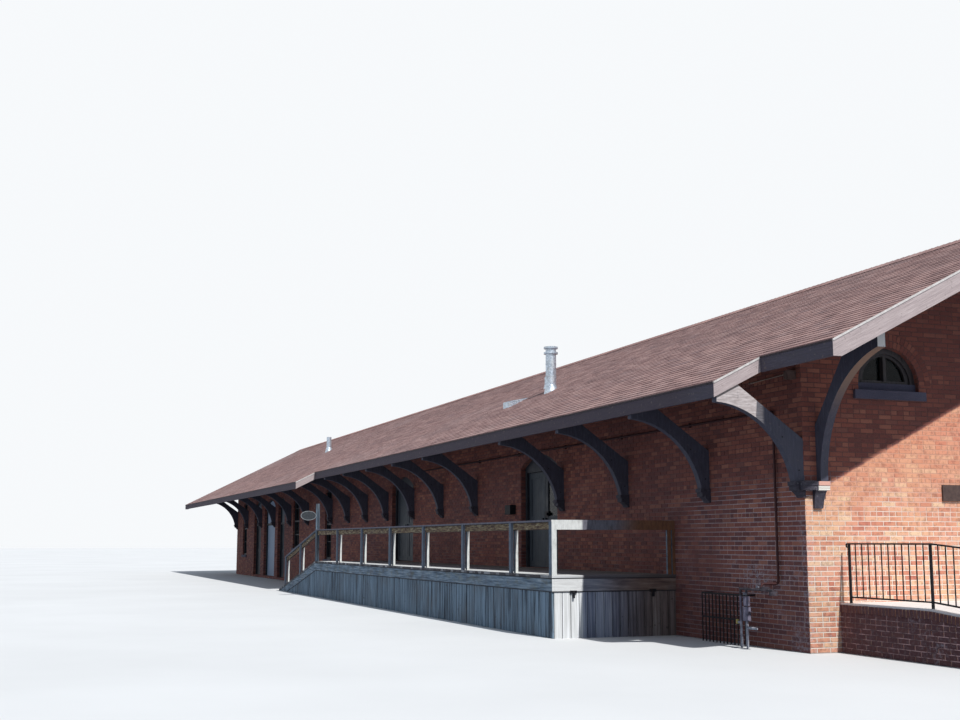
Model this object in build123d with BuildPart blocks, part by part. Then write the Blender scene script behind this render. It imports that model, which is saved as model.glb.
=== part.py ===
from build123d import *
from collections import namedtuple
from math import sqrt
import os

# Brick railway station as a 1:2 scale model: a long freight house with a passenger end under one roof.
# Millimetres. +Z is up, +X points to the near gable and -Y to the track.
# The origin is on the ground under the middle of the four walls.

# Walls, with every height counted from the lowest ground
wall_length = 22750
wall_depth = 3750
wall_thickness = 165

# Roof: one pitch, with eaves that step out twice along the building
roof_at_wall = 2152
roof_rise = 0.505
roof_depth = 60
near_overhang = 810
far_overhang = 1900
near_eave = 320
main_eave = 690
far_eave = 985
far_step = 11750
fascia_depth = 108
fascia_thickness = 20
rake_depth = 140
rake_thickness = 25
ridge_cap_width = 130
ridge_cap_thickness = 6
lookout_width = 70
lookout_depth = 110

# Curved knee brackets, by distance of their near face from the near corner or from the far one
near_brackets = (0, 1235, 2600, 3970, 6390, 7615, 8825, 10055, 11165, 12235, 13380)
far_brackets = (7590, 6070, 4540, 3100, 1450)
bracket_thickness = 60
bracket_foot = 1145
bracket_leg = 74
bracket_back = 1435
bracket_back_slope = 0.70
bracket_bow = (248, 1475)
bracket_nose_height = 1667
gable_bracket_inset = 100
gable_bracket_foot = 1147
gable_bracket_leg = 48
gable_bracket_back = 1530
gable_bracket_back_slope = 1.33
gable_bracket_bow = (270, 1733)
gable_bracket_nose = (705, 1978)

# Corbels: a cap and a narrower slab over a hollow-curved body, the caps of each corner's two joined round it
corbel_width = 84
corbel_reach = 125
gable_corbel_reach = 55
corner_cap_reach = 50
corbel_cap_height = 28
corbel_slab_height = 32
corbel_body_height = 43
corbel_foot_height = 5
corbel_slab_share = 0.85
corbel_neck_share = 0.7
corbel_foot_share = 0.2
corbel_hollow = (0.34, 0.42)

# Openings of the freight house: distance of the near jamb from the near corner, width and sill height
arch_apex = 1630
arch_ratio = 0.13
freight_floor = 480
passenger_floor = 45
first_door = 4130
first_door_width = 945
second_door = 8875
second_door_width = 1000

# Openings of the passenger end: distance of the near jamb from the far corner, width and sill height
tall_window = 9300
tall_window_width = 450
tall_window_sill = 455
wide_window = 6800
wide_window_width = 550
wide_window_sill = 630
grey_door = 5450
grey_door_width = 650
white_door = 4500
white_door_width = 1150
dark_door = 3000
dark_door_width = 800
end_window = 1300
end_window_width = 500
sill_height = 50
sill_horn = 30
sill_nose = 25

# Lunettes in the gables
lunette_offset = 735
lunette_radius = 260
lunette_base = 1795
lunette_stilt = 50
lunette_setback = 38
lunette_casing = 67
lunette_casing_base = 55
lunette_sash = 38
lunette_sash_base = 20
lunette_sash_setback = 18
lunette_mullion = 25
lunette_sill_height = 63
lunette_horn = 45
gable_door_width = 550

# Joinery
window_setback = 28
door_setback = 50
frame_width = 42
frame_thickness = 50
transom_bar = 40
transom_panel_thickness = 14
freight_leaf_head = 1460
passenger_leaf_head = 1090
leaf_thickness = 24
leaf_stile = 62
panel_recess = 6
door_clearance = 5
hinge_radius = 6
hinge_knuckle = 26
hinge_plate = 3
hinge_standoff = 8
knob_radius = 12
knob_length = 26
sash_width = 28
sash_thickness = 36
glass_thickness = 4

# Timber platform along the track wall, with its ramp at the far end
deck_start = 1800
deck_end = 9885
deck_width = 1090
deck_thickness = 20
deck_nosing = 6
rim_depth = 110
rim_thickness = 20
skirt_thickness = 12
skirt_setback = 5
ramp_length = 2415
ramp_toe = 20
ramp_post_bay = 1022
rail_height = 430
rail_cap_width = 70
rail_cap_thickness = 14
rail_board_depth = 62
rail_board_thickness = 22
rail_post_width = 45
rail_post_thickness = 22
rail_corner_post = (58, 42)
rail_wall_post = 28
rail_end_post = 34
rail_end_gap = 10
rail_bay = 1205
sign_post_height = 785
sign_width = 218
sign_height = 128
sign_thickness = 10
sign_level = 1100
beam_width = 60
beam_depth = 110
pier_size = 70

# Brick ramp and landing at the near gable
landing_level = 330
landing_depth = 885
landing_start = 250
landing_end = 2325
gable_ramp_length = 3430
gable_ramp_width = 1020
ramp_wall_thickness = 110
ramp_slab_thickness = 34
railing_height = 400
railing_inset = 35
railing_bay = 806
railing_post = 14
railing_bar = 6
railing_rail = 10
railing_foot = 35
railing_start = 75
bars_in_bay = 11
cross_bars = 14
scroll_radius = 16

# Things on the roof, by distance from the near corner and run up the slope
flue_station = 5325
flue_run = 465
flue_radius = 58
flue_height = 470
flue_collar = 20
flue_cap_rise = 60
flue_collar_radius = 78
flue_skirt_radius = 81
flue_skirt_height = 174
flue_skirt_taper = 12
vent_pipe_station = 6000
vent_pipe_run = 705
vent_pipe_radius = 22
vent_pipe_height = 130
stack_station = 6325
stack_run = 650
stack_radius = 45
stack_height = 270
boot_flare = 1.7
boot_rise = 2.4
boot_taper = 14
slant_vent_station = 5980
slant_vent_run = 300
slant_vent_width = 180
slant_vent_low = 110
slant_vent_high = 150
slant_vent_height = 75

# Gas meter by the near corner and the pipe that runs from it up the wall and along under the eave
gas_station = 320
gas_clear = 160
meter_offset = 195
inlet_offset = 270
meter_drums = ((190, 285, 29), (294, 359, 24))
meter_pipe_radius = 9
header_level = 410
regulators = ((48, 404), (145, 375))
regulator_radius = 30
regulator_thickness = 28
valve_level = 174
valve_length = 45
drain_level = 140
drain_length = 120
outlet_level = 450
pipe_radius = 9
pipe_bend = 20
pipe_standoff = 22
pipe_level = 1655
pipe_end = 8800
pipe_joint = 60
clip_start = 1500
clip_spacing = 1200
clip_width = 14
clip_height = 34

# Lamps, guard and plaque on the walls
eave_lamp_station = 75
eave_lamp_level = 1885
eave_lamp_width = 50
eave_lamp_height = 60
box_lamp_station = 5295
box_lamp_level = 1080
box_lamp_width = 150
box_lamp_height = 100
lamp_depth = 70
guard_start = 640
guard_end = 1240
guard_height = 365
guard_standoff = 90
guard_iron = 7
guard_rail = 12
guard_bars = 13
plaque_start = 1150
plaque_width = 520
plaque_base = 1025
plaque_height = 115
plaque_thickness = 14

# Floors
freight_floor_thickness = 40
sleeper_thickness = 110

# Fits
seat_gap = 0.3

# Worked out from the values above
half_length = wall_length / 2
half_depth = wall_depth / 2
wall_inner = half_depth - wall_thickness
ridge_height = roof_at_wall + roof_rise * half_depth
roof_under_wall = roof_at_wall - roof_depth
frame_back = half_depth - door_setback - frame_thickness

Opening = namedtuple("Opening", "start width sill apex")


def station(distance):
    """X of a place that lies this far along the track wall from the near corner."""
    return half_length - distance


def from_far_corner(distance):
    """Distance from the near corner of a place that lies this far from the far corner."""
    return wall_length - distance


def roof_top(run):
    """Height of the roof's top, run millimetres inwards from a side wall's outer face."""
    return roof_at_wall + roof_rise * run


def roof_underside(run):
    return roof_top(run) - roof_depth


def outline(opening, inset, mode):
    """Face of a segmental-arched opening in an elevation sketch, drawn in by inset all round."""
    middle = station(opening.start + opening.width / 2)
    half = opening.width / 2 - inset
    spring = opening.apex - opening.width * arch_ratio
    with BuildLine() as border:
        Polyline((middle - half, spring), (middle - half, opening.sill + inset),
                 (middle + half, opening.sill + inset), (middle + half, spring))
        ThreePointArc((middle + half, spring), (middle, opening.apex - inset), (middle - half, spring))
    make_face(border.edges(), mode=mode)


def rectangle(low_x, high_x, low_z, high_z, mode=Mode.ADD):
    """Rectangle between two corners in the sketch that is being drawn."""
    with Locations(((low_x + high_x) / 2, (low_z + high_z) / 2)):
        Rectangle(high_x - low_x, high_z - low_z, mode=mode)


def elevation(distance_from_middle):
    """Vertical plane along the building on the track side, looking at its outer face."""
    return Plane.XZ.offset(distance_from_middle)


def finish(part, name):
    """Name a finished piece and write its STEP file."""
    part.label = name
    export_step(part, f"parts/{name}.step")


os.makedirs("parts", exist_ok=True)

roof_seat = Plane(origin=(0, -half_depth, roof_under_wall - seat_gap), x_dir=(1, 0, 0),
                  z_dir=(0, -roof_rise, 1))

door_one = Opening(first_door, first_door_width, freight_floor, arch_apex)
door_two = Opening(second_door, second_door_width, freight_floor, arch_apex)
door_grey = Opening(from_far_corner(grey_door), grey_door_width, passenger_floor, arch_apex)
door_white = Opening(from_far_corner(white_door), white_door_width, passenger_floor, arch_apex)
door_dark = Opening(from_far_corner(dark_door), dark_door_width, passenger_floor, arch_apex)
freight_doors = (door_one, door_two)
passenger_doors = (door_grey, door_white, door_dark)
track_doors = freight_doors + passenger_doors
window_tall = Opening(from_far_corner(tall_window), tall_window_width, tall_window_sill, arch_apex)
window_wide = Opening(from_far_corner(wide_window), wide_window_width, wide_window_sill, arch_apex)
window_end = Opening(from_far_corner(end_window), end_window_width, tall_window_sill, arch_apex)
track_windows = (window_tall, window_wide, window_end)

# The back wall repeats the freight doors, and has windows where the track wall has its passenger doors
back_doors = freight_doors
back_windows = track_windows + (
    Opening(door_grey.start, tall_window_width, tall_window_sill, arch_apex),
    Opening(door_dark.start - sill_horn * 2, tall_window_width, tall_window_sill, arch_apex),
)


def sill_slot(opening, mode):
    rectangle(station(opening.start + opening.width) - sill_horn, station(opening.start) + sill_horn,
              opening.sill - sill_height, opening.sill, mode=mode)


def side_wall(name, spans, windows=(), doors=(), back=False):
    """Brick wall under one eave: a solid for each span, cut to the roof, with its openings through it."""
    with BuildPart() as wall:
        with BuildSketch(elevation(wall_inner)):
            for start, end in spans:
                rectangle(station(end), station(start), 0, roof_top(wall_thickness))
            for window in windows:
                outline(window, 0, Mode.SUBTRACT)
                sill_slot(window, Mode.SUBTRACT)
            for door in doors:
                outline(door, 0, Mode.SUBTRACT)
        extrude(amount=wall_thickness)
        split(bisect_by=roof_seat, keep=Keep.BOTTOM)
        if back:
            mirror(about=Plane.XZ, mode=Mode.REPLACE)
    finish(wall.part, name)


def opening_end(opening):
    return opening.start + opening.width


side_wall("track_wall_near", [(0, door_one.start)])
side_wall("track_wall_middle", [(opening_end(door_one), door_two.start)])
side_wall("track_wall_windows", [(opening_end(door_two), door_grey.start)],
          windows=(window_tall, window_wide))
side_wall("track_wall_far",
          [(opening_end(door_grey), door_white.start), (opening_end(door_white), door_dark.start),
           (opening_end(door_dark), wall_length)],
          windows=(window_end,))
side_wall("back_wall", [(0, wall_length)], windows=back_windows, doors=back_doors, back=True)

# Brickwork over each track door, arched below and cut to the roof above
with BuildPart() as lintels:
    with BuildSketch(elevation(wall_inner)):
        for door in track_doors:
            spring = door.apex - door.width * arch_ratio
            rectangle(station(opening_end(door)), station(door.start), spring, roof_top(wall_thickness))
            outline(door, 0, Mode.SUBTRACT)
    extrude(amount=wall_thickness)
    split(bisect_by=roof_seat, keep=Keep.BOTTOM)
finish(lintels.part, "track_wall_over_doors")

# Brickwork and stone thresholds under each track door
with BuildPart() as thresholds:
    with BuildSketch(elevation(wall_inner)):
        for door in track_doors:
            rectangle(station(opening_end(door)), station(door.start), 0, door.sill)
    extrude(amount=wall_thickness)
finish(thresholds.part, "track_wall_under_doors")


def lunette(middle, inset, rise, mode):
    """Face of a stilted half-round window in a gable sketch, drawn in by inset and up by rise."""
    radius = lunette_radius - inset
    spring = lunette_base + lunette_stilt
    low = lunette_base + rise
    with BuildLine() as border:
        if low < spring:
            half, foot = radius, spring
            Polyline((middle - half, foot), (middle - half, low), (middle + half, low),
                     (middle + half, foot))
        else:
            half, foot = sqrt(radius ** 2 - (low - spring) ** 2), low
            Line((middle - half, foot), (middle + half, foot))
        ThreePointArc((middle + half, foot), (middle, spring + radius), (middle - half, foot))
    make_face(border.edges(), mode=mode)


lunette_middles = (-half_depth + lunette_offset, half_depth - lunette_offset)
lunette_sill = lunette_radius + lunette_horn
gable_wall_planes = {"near_gable": half_length - wall_thickness, "far_gable": -half_length}
gable_door_sill = {"near_gable": landing_level, "far_gable": passenger_floor}
gable_door_head = {"near_gable": landing_level + passenger_leaf_head, "far_gable": passenger_leaf_head}

# Gable walls between the side walls, with two lunettes and a middle door each
for name, x in gable_wall_planes.items():
    with BuildPart() as gable:
        with BuildSketch(Plane.YZ.offset(x)):
            with BuildLine():
                Polyline((-wall_inner, 0), (wall_inner, 0),
                         (wall_inner, roof_underside(wall_thickness) - seat_gap),
                         (0, roof_underside(half_depth) - seat_gap),
                         (-wall_inner, roof_underside(wall_thickness) - seat_gap), close=True)
            make_face()
            for middle in lunette_middles:
                lunette(middle, 0, 0, Mode.SUBTRACT)
                rectangle(middle - lunette_sill, middle + lunette_sill, lunette_base - lunette_sill_height,
                          lunette_base, mode=Mode.SUBTRACT)
            rectangle(-gable_door_width / 2, gable_door_width / 2, gable_door_sill[name],
                      gable_door_head[name], mode=Mode.SUBTRACT)
        extrude(amount=wall_thickness)
    finish(gable.part, name)

# Roof slopes: plumb-cut slabs of rafters, boards and shingles, one length for each depth of eave
roof_sections = ((-near_overhang, 0, near_eave), (0, far_step, main_eave),
                 (far_step, wall_length + far_overhang, far_eave))
edge_cover = fascia_thickness + seat_gap


def roof_slope(name, back=False):
    with BuildPart() as slope:
        for start, end, eave in roof_sections:
            near_cover = rake_thickness + seat_gap if start < 0 else edge_cover
            far_cover = rake_thickness + seat_gap if end > wall_length else seat_gap - edge_cover
            edge = -half_depth - eave + edge_cover
            with BuildSketch(Plane.YZ.offset(station(end) + far_cover)):
                with BuildLine():
                    Polyline((edge, roof_top(edge_cover - eave)), (-seat_gap / 2, ridge_height),
                             (-seat_gap / 2, ridge_height - roof_depth),
                             (edge, roof_underside(edge_cover - eave)), close=True)
                make_face()
            extrude(amount=end - start - near_cover - far_cover)
        if back:
            mirror(about=Plane.XZ, mode=Mode.REPLACE)
    finish(slope.part, name)


roof_slope("roof_track_slope")
roof_slope("roof_back_slope", back=True)

# Ridge cap of folded shingles along the whole ridge
with BuildPart() as ridge_cap:
    with BuildSketch(Plane.YZ.offset(station(wall_length + far_overhang))):
        drop = roof_rise * ridge_cap_width
        lift = ridge_height + seat_gap
        with BuildLine():
            Polyline((-ridge_cap_width, lift - drop), (0, lift), (ridge_cap_width, lift - drop),
                     (ridge_cap_width, lift - drop + ridge_cap_thickness), (0, lift + ridge_cap_thickness),
                     (-ridge_cap_width, lift - drop + ridge_cap_thickness), close=True)
        make_face()
    extrude(amount=wall_length + near_overhang + far_overhang)
finish(ridge_cap.part, "ridge_cap")

# Fascia boards along the eaves, and the short raking boards where the eaves step out
with BuildPart() as fascias:
    for start, end, eave in roof_sections:
        outer = half_depth + eave
        top = roof_top(-eave)
        near_cover = rake_thickness + seat_gap if start < 0 else edge_cover
        far_cover = rake_thickness + seat_gap if end > wall_length else seat_gap
        with BuildSketch(Plane.YZ.offset(station(end) + far_cover)):
            with Locations((-outer + fascia_thickness / 2, top - fascia_depth / 2)):
                Rectangle(fascia_thickness, fascia_depth)
        extrude(amount=end - start - near_cover - far_cover)
    for step, inner_eave, outer_eave in ((0, near_eave, main_eave), (far_step, main_eave, far_eave)):
        inner = -half_depth - inner_eave + seat_gap
        outer = -half_depth - outer_eave
        with BuildSketch(Plane.YZ.offset(station(step) - fascia_thickness)):
            with BuildLine():
                Polyline((outer, roof_top(-outer_eave)), (inner, roof_top(-inner_eave)),
                         (inner, roof_top(-inner_eave) - fascia_depth),
                         (outer, roof_top(-outer_eave) - fascia_depth), close=True)
            make_face()
        extrude(amount=fascia_thickness)
    mirror(about=Plane.XZ)
finish(fascias.part, "eave_fascias")

# Rake boards on both gables, each a pair with plumb ends cut level below
rake_faces = ((station(-near_overhang) - rake_thickness, near_eave),
              (station(wall_length + far_overhang), far_eave))
with BuildPart() as rakes:
    for x, eave in rake_faces:
        outer = -half_depth - eave
        level = roof_top(-eave) - fascia_depth
        bevel = outer + (rake_depth - fascia_depth) / roof_rise
        with BuildSketch(Plane.YZ.offset(x)):
            with BuildLine():
                Polyline((outer, roof_top(-eave)), (-seat_gap / 2, ridge_height),
                         (-seat_gap / 2, ridge_height - rake_depth), (bevel, level), (outer, level), close=True)
            make_face()
            mirror(about=Plane.YZ)
        extrude(amount=rake_thickness)
finish(rakes.part, "rake_boards")

# Lookouts that carry the long overhang at the far gable
lookout_run = gable_bracket_inset + bracket_thickness + corbel_width / 2 + lookout_width / 2
with BuildPart() as lookouts:
    with BuildSketch(Plane.YZ.offset(station(wall_length + far_overhang) + rake_thickness + seat_gap)):
        for run in (lookout_run, half_depth / 2, half_depth - lookout_width):
            low = run - lookout_width / 2
            high = run + lookout_width / 2
            with BuildLine():
                Polyline((low - half_depth, roof_underside(low) - seat_gap),
                         (high - half_depth, roof_underside(high) - seat_gap),
                         (high - half_depth, roof_underside(low) - lookout_depth),
                         (low - half_depth, roof_underside(low) - lookout_depth), close=True)
            make_face()
        mirror(about=Plane.YZ)
    extrude(amount=far_overhang - rake_thickness - 2 * seat_gap)
finish(lookouts.part, "far_gable_lookouts")


def knee_bracket_face():
    """Side of a knee bracket: a leg on the wall, a straight back and a hollow curve up to the nose."""
    nose = main_eave - fascia_thickness - seat_gap
    nose_height = bracket_nose_height
    seat = roof_under_wall - seat_gap
    heel = (seat - bracket_back) / (bracket_back_slope + roof_rise)
    with BuildLine() as border:
        Polyline((-half_depth - nose, nose_height), (-half_depth - nose, seat - roof_rise * nose),
                 (-half_depth - heel, seat - roof_rise * heel), (-half_depth, bracket_back),
                 (-half_depth, bracket_foot), (-half_depth - bracket_leg, bracket_foot))
        ThreePointArc((-half_depth - bracket_leg, bracket_foot),
                      (-half_depth - bracket_bow[0], bracket_bow[1]), (-half_depth - nose, nose_height))
    make_face(border.edges())


bracket_faces = [*near_brackets, *(from_far_corner(distance) for distance in far_brackets),
                 wall_length - bracket_thickness]
bracket_planes = [Plane.YZ.offset(station(near_face + bracket_thickness)) for near_face in bracket_faces]
with BuildPart() as track_brackets:
    with BuildSketch(*bracket_planes):
        knee_bracket_face()
    extrude(amount=bracket_thickness)
    # The bracket at the near gable is notched for the raking board where the eave steps out
    inner = -half_depth - near_eave + 2 * seat_gap
    outer = -half_depth - main_eave
    notch_depth = fascia_depth + seat_gap
    with BuildSketch(Plane.YZ.offset(half_length - fascia_thickness - seat_gap)):
        with BuildLine():
            Polyline((outer, roof_top(-main_eave)), (inner, roof_top(-near_eave)),
                     (inner, roof_top(-near_eave) - notch_depth), (outer, roof_top(-main_eave) - notch_depth),
                     close=True)
        make_face()
    extrude(amount=fascia_thickness + seat_gap, mode=Mode.SUBTRACT)
finish(track_brackets.part, "track_brackets")

with BuildPart() as back_brackets:
    add(track_brackets.part)
    mirror(about=Plane.XZ, mode=Mode.REPLACE)
finish(back_brackets.part, "back_brackets")

# Tall brackets at the gable corners, each ending in a plumb face under the rake boards
with BuildPart() as gable_brackets:
    with BuildSketch(Plane.XZ.offset(half_depth - gable_bracket_inset - bracket_thickness)):
        nose, nose_height = gable_bracket_nose
        seat = roof_underside(gable_bracket_inset) - seat_gap
        heel = (seat - gable_bracket_back) / gable_bracket_back_slope
        with BuildLine():
            Polyline((half_length + nose, nose_height), (half_length + nose, seat),
                     (half_length + heel, seat), (half_length, gable_bracket_back),
                     (half_length, gable_bracket_foot),
                     (half_length + gable_bracket_leg, gable_bracket_foot))
            ThreePointArc((half_length + gable_bracket_leg, gable_bracket_foot),
                          (half_length + gable_bracket_bow[0], gable_bracket_bow[1]),
                          (half_length + nose, nose_height))
        make_face()
    extrude(amount=bracket_thickness)
    mirror(about=Plane.YZ)
    mirror(about=Plane.XZ)
finish(gable_brackets.part, "gable_brackets")


def corbel_face(sign, wall_face, top, reach):
    """Side of a corbel under a bracket's leg: cap, slab, hollow body and a short plumb foot."""
    slab_top = top - corbel_cap_height
    neck_top = slab_top - corbel_slab_height
    body_foot = neck_top - corbel_body_height
    slab, neck, base = (wall_face + sign * reach * share
                        for share in (corbel_slab_share, corbel_neck_share, corbel_foot_share))
    hollow = (base + (neck - base) * corbel_hollow[0], body_foot + corbel_body_height * corbel_hollow[1])
    with BuildLine() as border:
        Polyline((neck, neck_top), (slab, neck_top), (slab, slab_top), (wall_face + sign * reach, slab_top),
                 (wall_face + sign * reach, top), (wall_face, top),
                 (wall_face, body_foot - corbel_foot_height), (base, body_foot - corbel_foot_height),
                 (base, body_foot))
        ThreePointArc((base, body_foot), hollow, (neck, neck_top))
    make_face(border.edges())


corbel_margin = (corbel_width - bracket_thickness) / 2
corbel_planes = [plane.offset(-corbel_margin) for plane in bracket_planes]
gable_corbel_plane = Plane.XZ.offset(half_depth - gable_bracket_inset - bracket_thickness - corbel_margin)
corner_slabs = ((gable_bracket_foot - seat_gap - corbel_cap_height, corbel_cap_height, 1),
                (gable_bracket_foot - seat_gap - corbel_cap_height - corbel_slab_height, corbel_slab_height,
                 corbel_slab_share))
with BuildPart() as corbels:
    with BuildSketch(*corbel_planes):
        corbel_face(-1, -half_depth, bracket_foot - seat_gap, corbel_reach)
    extrude(amount=corbel_width)
    for sign in (1, -1):
        with BuildSketch(gable_corbel_plane):
            corbel_face(sign, sign * half_length, gable_bracket_foot - seat_gap, gable_corbel_reach)
        extrude(amount=corbel_width)
    for low, height, share in corner_slabs:
        with BuildSketch(Plane.XY.offset(low)):
            rectangle(half_length, half_length + gable_corbel_reach * share,
                      -half_depth - corner_cap_reach * share, -half_depth + gable_bracket_inset - corbel_margin)
            mirror(about=Plane.YZ)
        extrude(amount=height)
    mirror(about=Plane.XZ)
finish(corbels.part, "bracket_corbels")

# Floors: boards on brick sleeper walls in the freight house, a slab on the ground at the passenger end
freight_floor_near = half_length - wall_thickness
freight_floor_far = station(far_step)
with BuildPart() as freight_boards:
    with BuildSketch(Plane.XY.offset(freight_floor - freight_floor_thickness)):
        rectangle(freight_floor_far, freight_floor_near, -wall_inner, wall_inner)
    extrude(amount=freight_floor_thickness)
finish(freight_boards.part, "freight_floor")

with BuildPart() as sleepers:
    with BuildSketch(Plane.XY):
        for y in (-half_depth * 2 / 3, 0, half_depth * 2 / 3):
            rectangle(freight_floor_far + sleeper_thickness + seat_gap, freight_floor_near,
                      y - sleeper_thickness / 2, y + sleeper_thickness / 2)
        rectangle(freight_floor_far, freight_floor_far + sleeper_thickness, -wall_inner, wall_inner)
    extrude(amount=freight_floor - freight_floor_thickness)
finish(sleepers.part, "floor_sleeper_walls")

with BuildPart() as passenger_slab:
    with BuildSketch(Plane.XY):
        rectangle(-half_length + wall_thickness, freight_floor_far - seat_gap, -wall_inner, wall_inner)
    extrude(amount=passenger_floor)
finish(passenger_slab.part, "passenger_floor")

# Window frames with a meeting rail, set back in the track and back walls
window_face = half_depth - window_setback - sash_thickness


def window_joinery(openings):
    with BuildSketch(elevation(window_face)) as joinery:
        for window in openings:
            outline(window, seat_gap, Mode.ADD)
            outline(window, sash_width, Mode.SUBTRACT)
            middle = (window.sill + window.apex) / 2
            rectangle(station(opening_end(window)) + sash_width, station(window.start) - sash_width,
                      middle - sash_width / 2, middle + sash_width / 2)
    extrude(joinery.sketch, amount=sash_thickness)


with BuildPart() as track_frames:
    window_joinery(track_windows)
with BuildPart() as window_frames:
    window_joinery(back_windows)
    mirror(about=Plane.XZ, mode=Mode.REPLACE)
    add(track_frames.part)
finish(window_frames.part, "window_frames")

# Lunette frames: a broad casing, and behind its face a sash with a middle mullion
lunette_face = half_length - lunette_setback
lunette_glass_inset = lunette_casing + lunette_sash
lunette_glass_base = lunette_casing_base + lunette_sash_base
with BuildPart() as lunette_frames:
    with BuildSketch(Plane.YZ.offset(lunette_face - sash_thickness)):
        for middle in lunette_middles:
            lunette(middle, seat_gap, seat_gap, Mode.ADD)
            lunette(middle, lunette_glass_inset, lunette_glass_base, Mode.SUBTRACT)
            rectangle(middle - lunette_mullion / 2, middle + lunette_mullion / 2,
                      lunette_base + lunette_glass_base,
                      lunette_base + lunette_stilt + lunette_radius - lunette_glass_inset)
    extrude(amount=sash_thickness - lunette_sash_setback)
    with BuildSketch(Plane.YZ.offset(lunette_face - lunette_sash_setback)):
        for middle in lunette_middles:
            lunette(middle, seat_gap, seat_gap, Mode.ADD)
            lunette(middle, lunette_casing, lunette_casing_base, Mode.SUBTRACT)
    extrude(amount=lunette_sash_setback)
    mirror(about=Plane.YZ)
finish(lunette_frames.part, "lunette_frames")

# Sills of the windows and lunettes
with BuildPart() as back_sills:
    with BuildSketch(elevation(wall_inner)):
        for window in back_windows:
            sill_slot(window, Mode.ADD)
    extrude(amount=wall_thickness + sill_nose)
    mirror(about=Plane.XZ, mode=Mode.REPLACE)
with BuildPart() as sills:
    with BuildSketch(elevation(wall_inner)):
        for window in track_windows:
            sill_slot(window, Mode.ADD)
    extrude(amount=wall_thickness + sill_nose)
    add(back_sills.part)
    with BuildSketch(Plane.YZ.offset(half_length - wall_thickness)):
        for middle in lunette_middles:
            rectangle(middle - lunette_sill, middle + lunette_sill, lunette_base - lunette_sill_height,
                      lunette_base)
    extrude(amount=wall_thickness + sill_nose)
    with BuildSketch(Plane.YZ.offset(wall_thickness - half_length)):
        for middle in lunette_middles:
            rectangle(middle - lunette_sill, middle + lunette_sill, lunette_base - lunette_sill_height,
                      lunette_base)
    extrude(amount=-wall_thickness - sill_nose)
finish(sills.part, "window_sills")

# One sheet of glass behind each frame
with BuildPart() as track_glass:
    with BuildSketch(elevation(window_face - glass_thickness - seat_gap)):
        for window in track_windows:
            outline(window, seat_gap, Mode.ADD)
    extrude(amount=glass_thickness)
with BuildPart() as window_glass:
    with BuildSketch(elevation(window_face - glass_thickness - seat_gap)):
        for window in back_windows:
            outline(window, seat_gap, Mode.ADD)
    extrude(amount=glass_thickness)
    mirror(about=Plane.XZ, mode=Mode.REPLACE)
    add(track_glass.part)
finish(window_glass.part, "window_glass")

with BuildPart() as lunette_glass:
    with BuildSketch(Plane.YZ.offset(lunette_face - sash_thickness - glass_thickness - seat_gap)):
        for middle in lunette_middles:
            lunette(middle, seat_gap, seat_gap, Mode.ADD)
    extrude(amount=glass_thickness)
    mirror(about=Plane.YZ)
finish(lunette_glass.part, "lunette_glass")


def leaf_head(door):
    return freight_leaf_head if door.sill == freight_floor else passenger_leaf_head


def hinge_levels(door):
    """Middle heights of the two fixed hinge knuckles of a leaf."""
    height = leaf_head(door) - door.sill
    return (door.sill + height * 0.2, door.sill + height * 0.8)


def clear_edges(door):
    """Low and high X between the jambs of a door frame."""
    return station(opening_end(door)) + frame_width, station(door.start) - frame_width


# Door frames: jambs, arched head and transom bar, with the fixed half of every hinge on the room side
hinge_y = -frame_back + hinge_standoff
with BuildPart() as door_frames:
    with BuildSketch(elevation(frame_back)):
        for door in track_doors:
            outline(door, seat_gap, Mode.ADD)
            low, high = clear_edges(door)
            rectangle(low, high, door.sill, leaf_head(door), mode=Mode.SUBTRACT)
            bar_top = leaf_head(door) + transom_bar
            light = Opening(door.start + frame_width, door.width - 2 * frame_width, bar_top,
                            door.apex - frame_width)
            if bar_top < light.apex - light.width * arch_ratio:
                outline(light, 0, Mode.SUBTRACT)
            for edge, sign in zip(clear_edges(door), (-1, 1)):
                joint_x = edge + sign * frame_width / 2
                rectangle(joint_x - frame_width, joint_x + frame_width, leaf_head(door) - seat_gap,
                          leaf_head(door), mode=Mode.SUBTRACT)
    extrude(amount=frame_thickness)
    hinged = [(door, edge, sign) for door in track_doors for edge, sign in zip(clear_edges(door), (-1, 1))]
    for door, edge, sign in hinged:
        if sign > 0 and door in passenger_doors:
            continue
        pin_x = edge - sign * door_clearance / 2
        for level in hinge_levels(door):
            with BuildSketch(Plane.XY.offset(level - hinge_knuckle / 2)):
                with Locations((pin_x, hinge_y)):
                    Circle(hinge_radius)
                plate_end = edge + sign * frame_width * 0.8
                rectangle(min(pin_x, plate_end), max(pin_x, plate_end), -frame_back,
                          -frame_back + hinge_plate)
                rectangle(pin_x - hinge_plate / 2, pin_x + hinge_plate / 2, -frame_back, hinge_y)
            extrude(amount=hinge_knuckle)
finish(door_frames.part, "door_frames")

# Fixed panels that fill the arched lights over the track doors
with BuildPart() as transoms:
    with BuildSketch(elevation(frame_back + frame_thickness / 3)):
        for door in passenger_doors:
            bar_top = leaf_head(door) + transom_bar
            light = Opening(door.start + frame_width, door.width - 2 * frame_width, bar_top,
                            door.apex - frame_width)
            outline(light, seat_gap, Mode.ADD)
    extrude(amount=transom_panel_thickness)
finish(transoms.part, "transom_panels")


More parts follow.
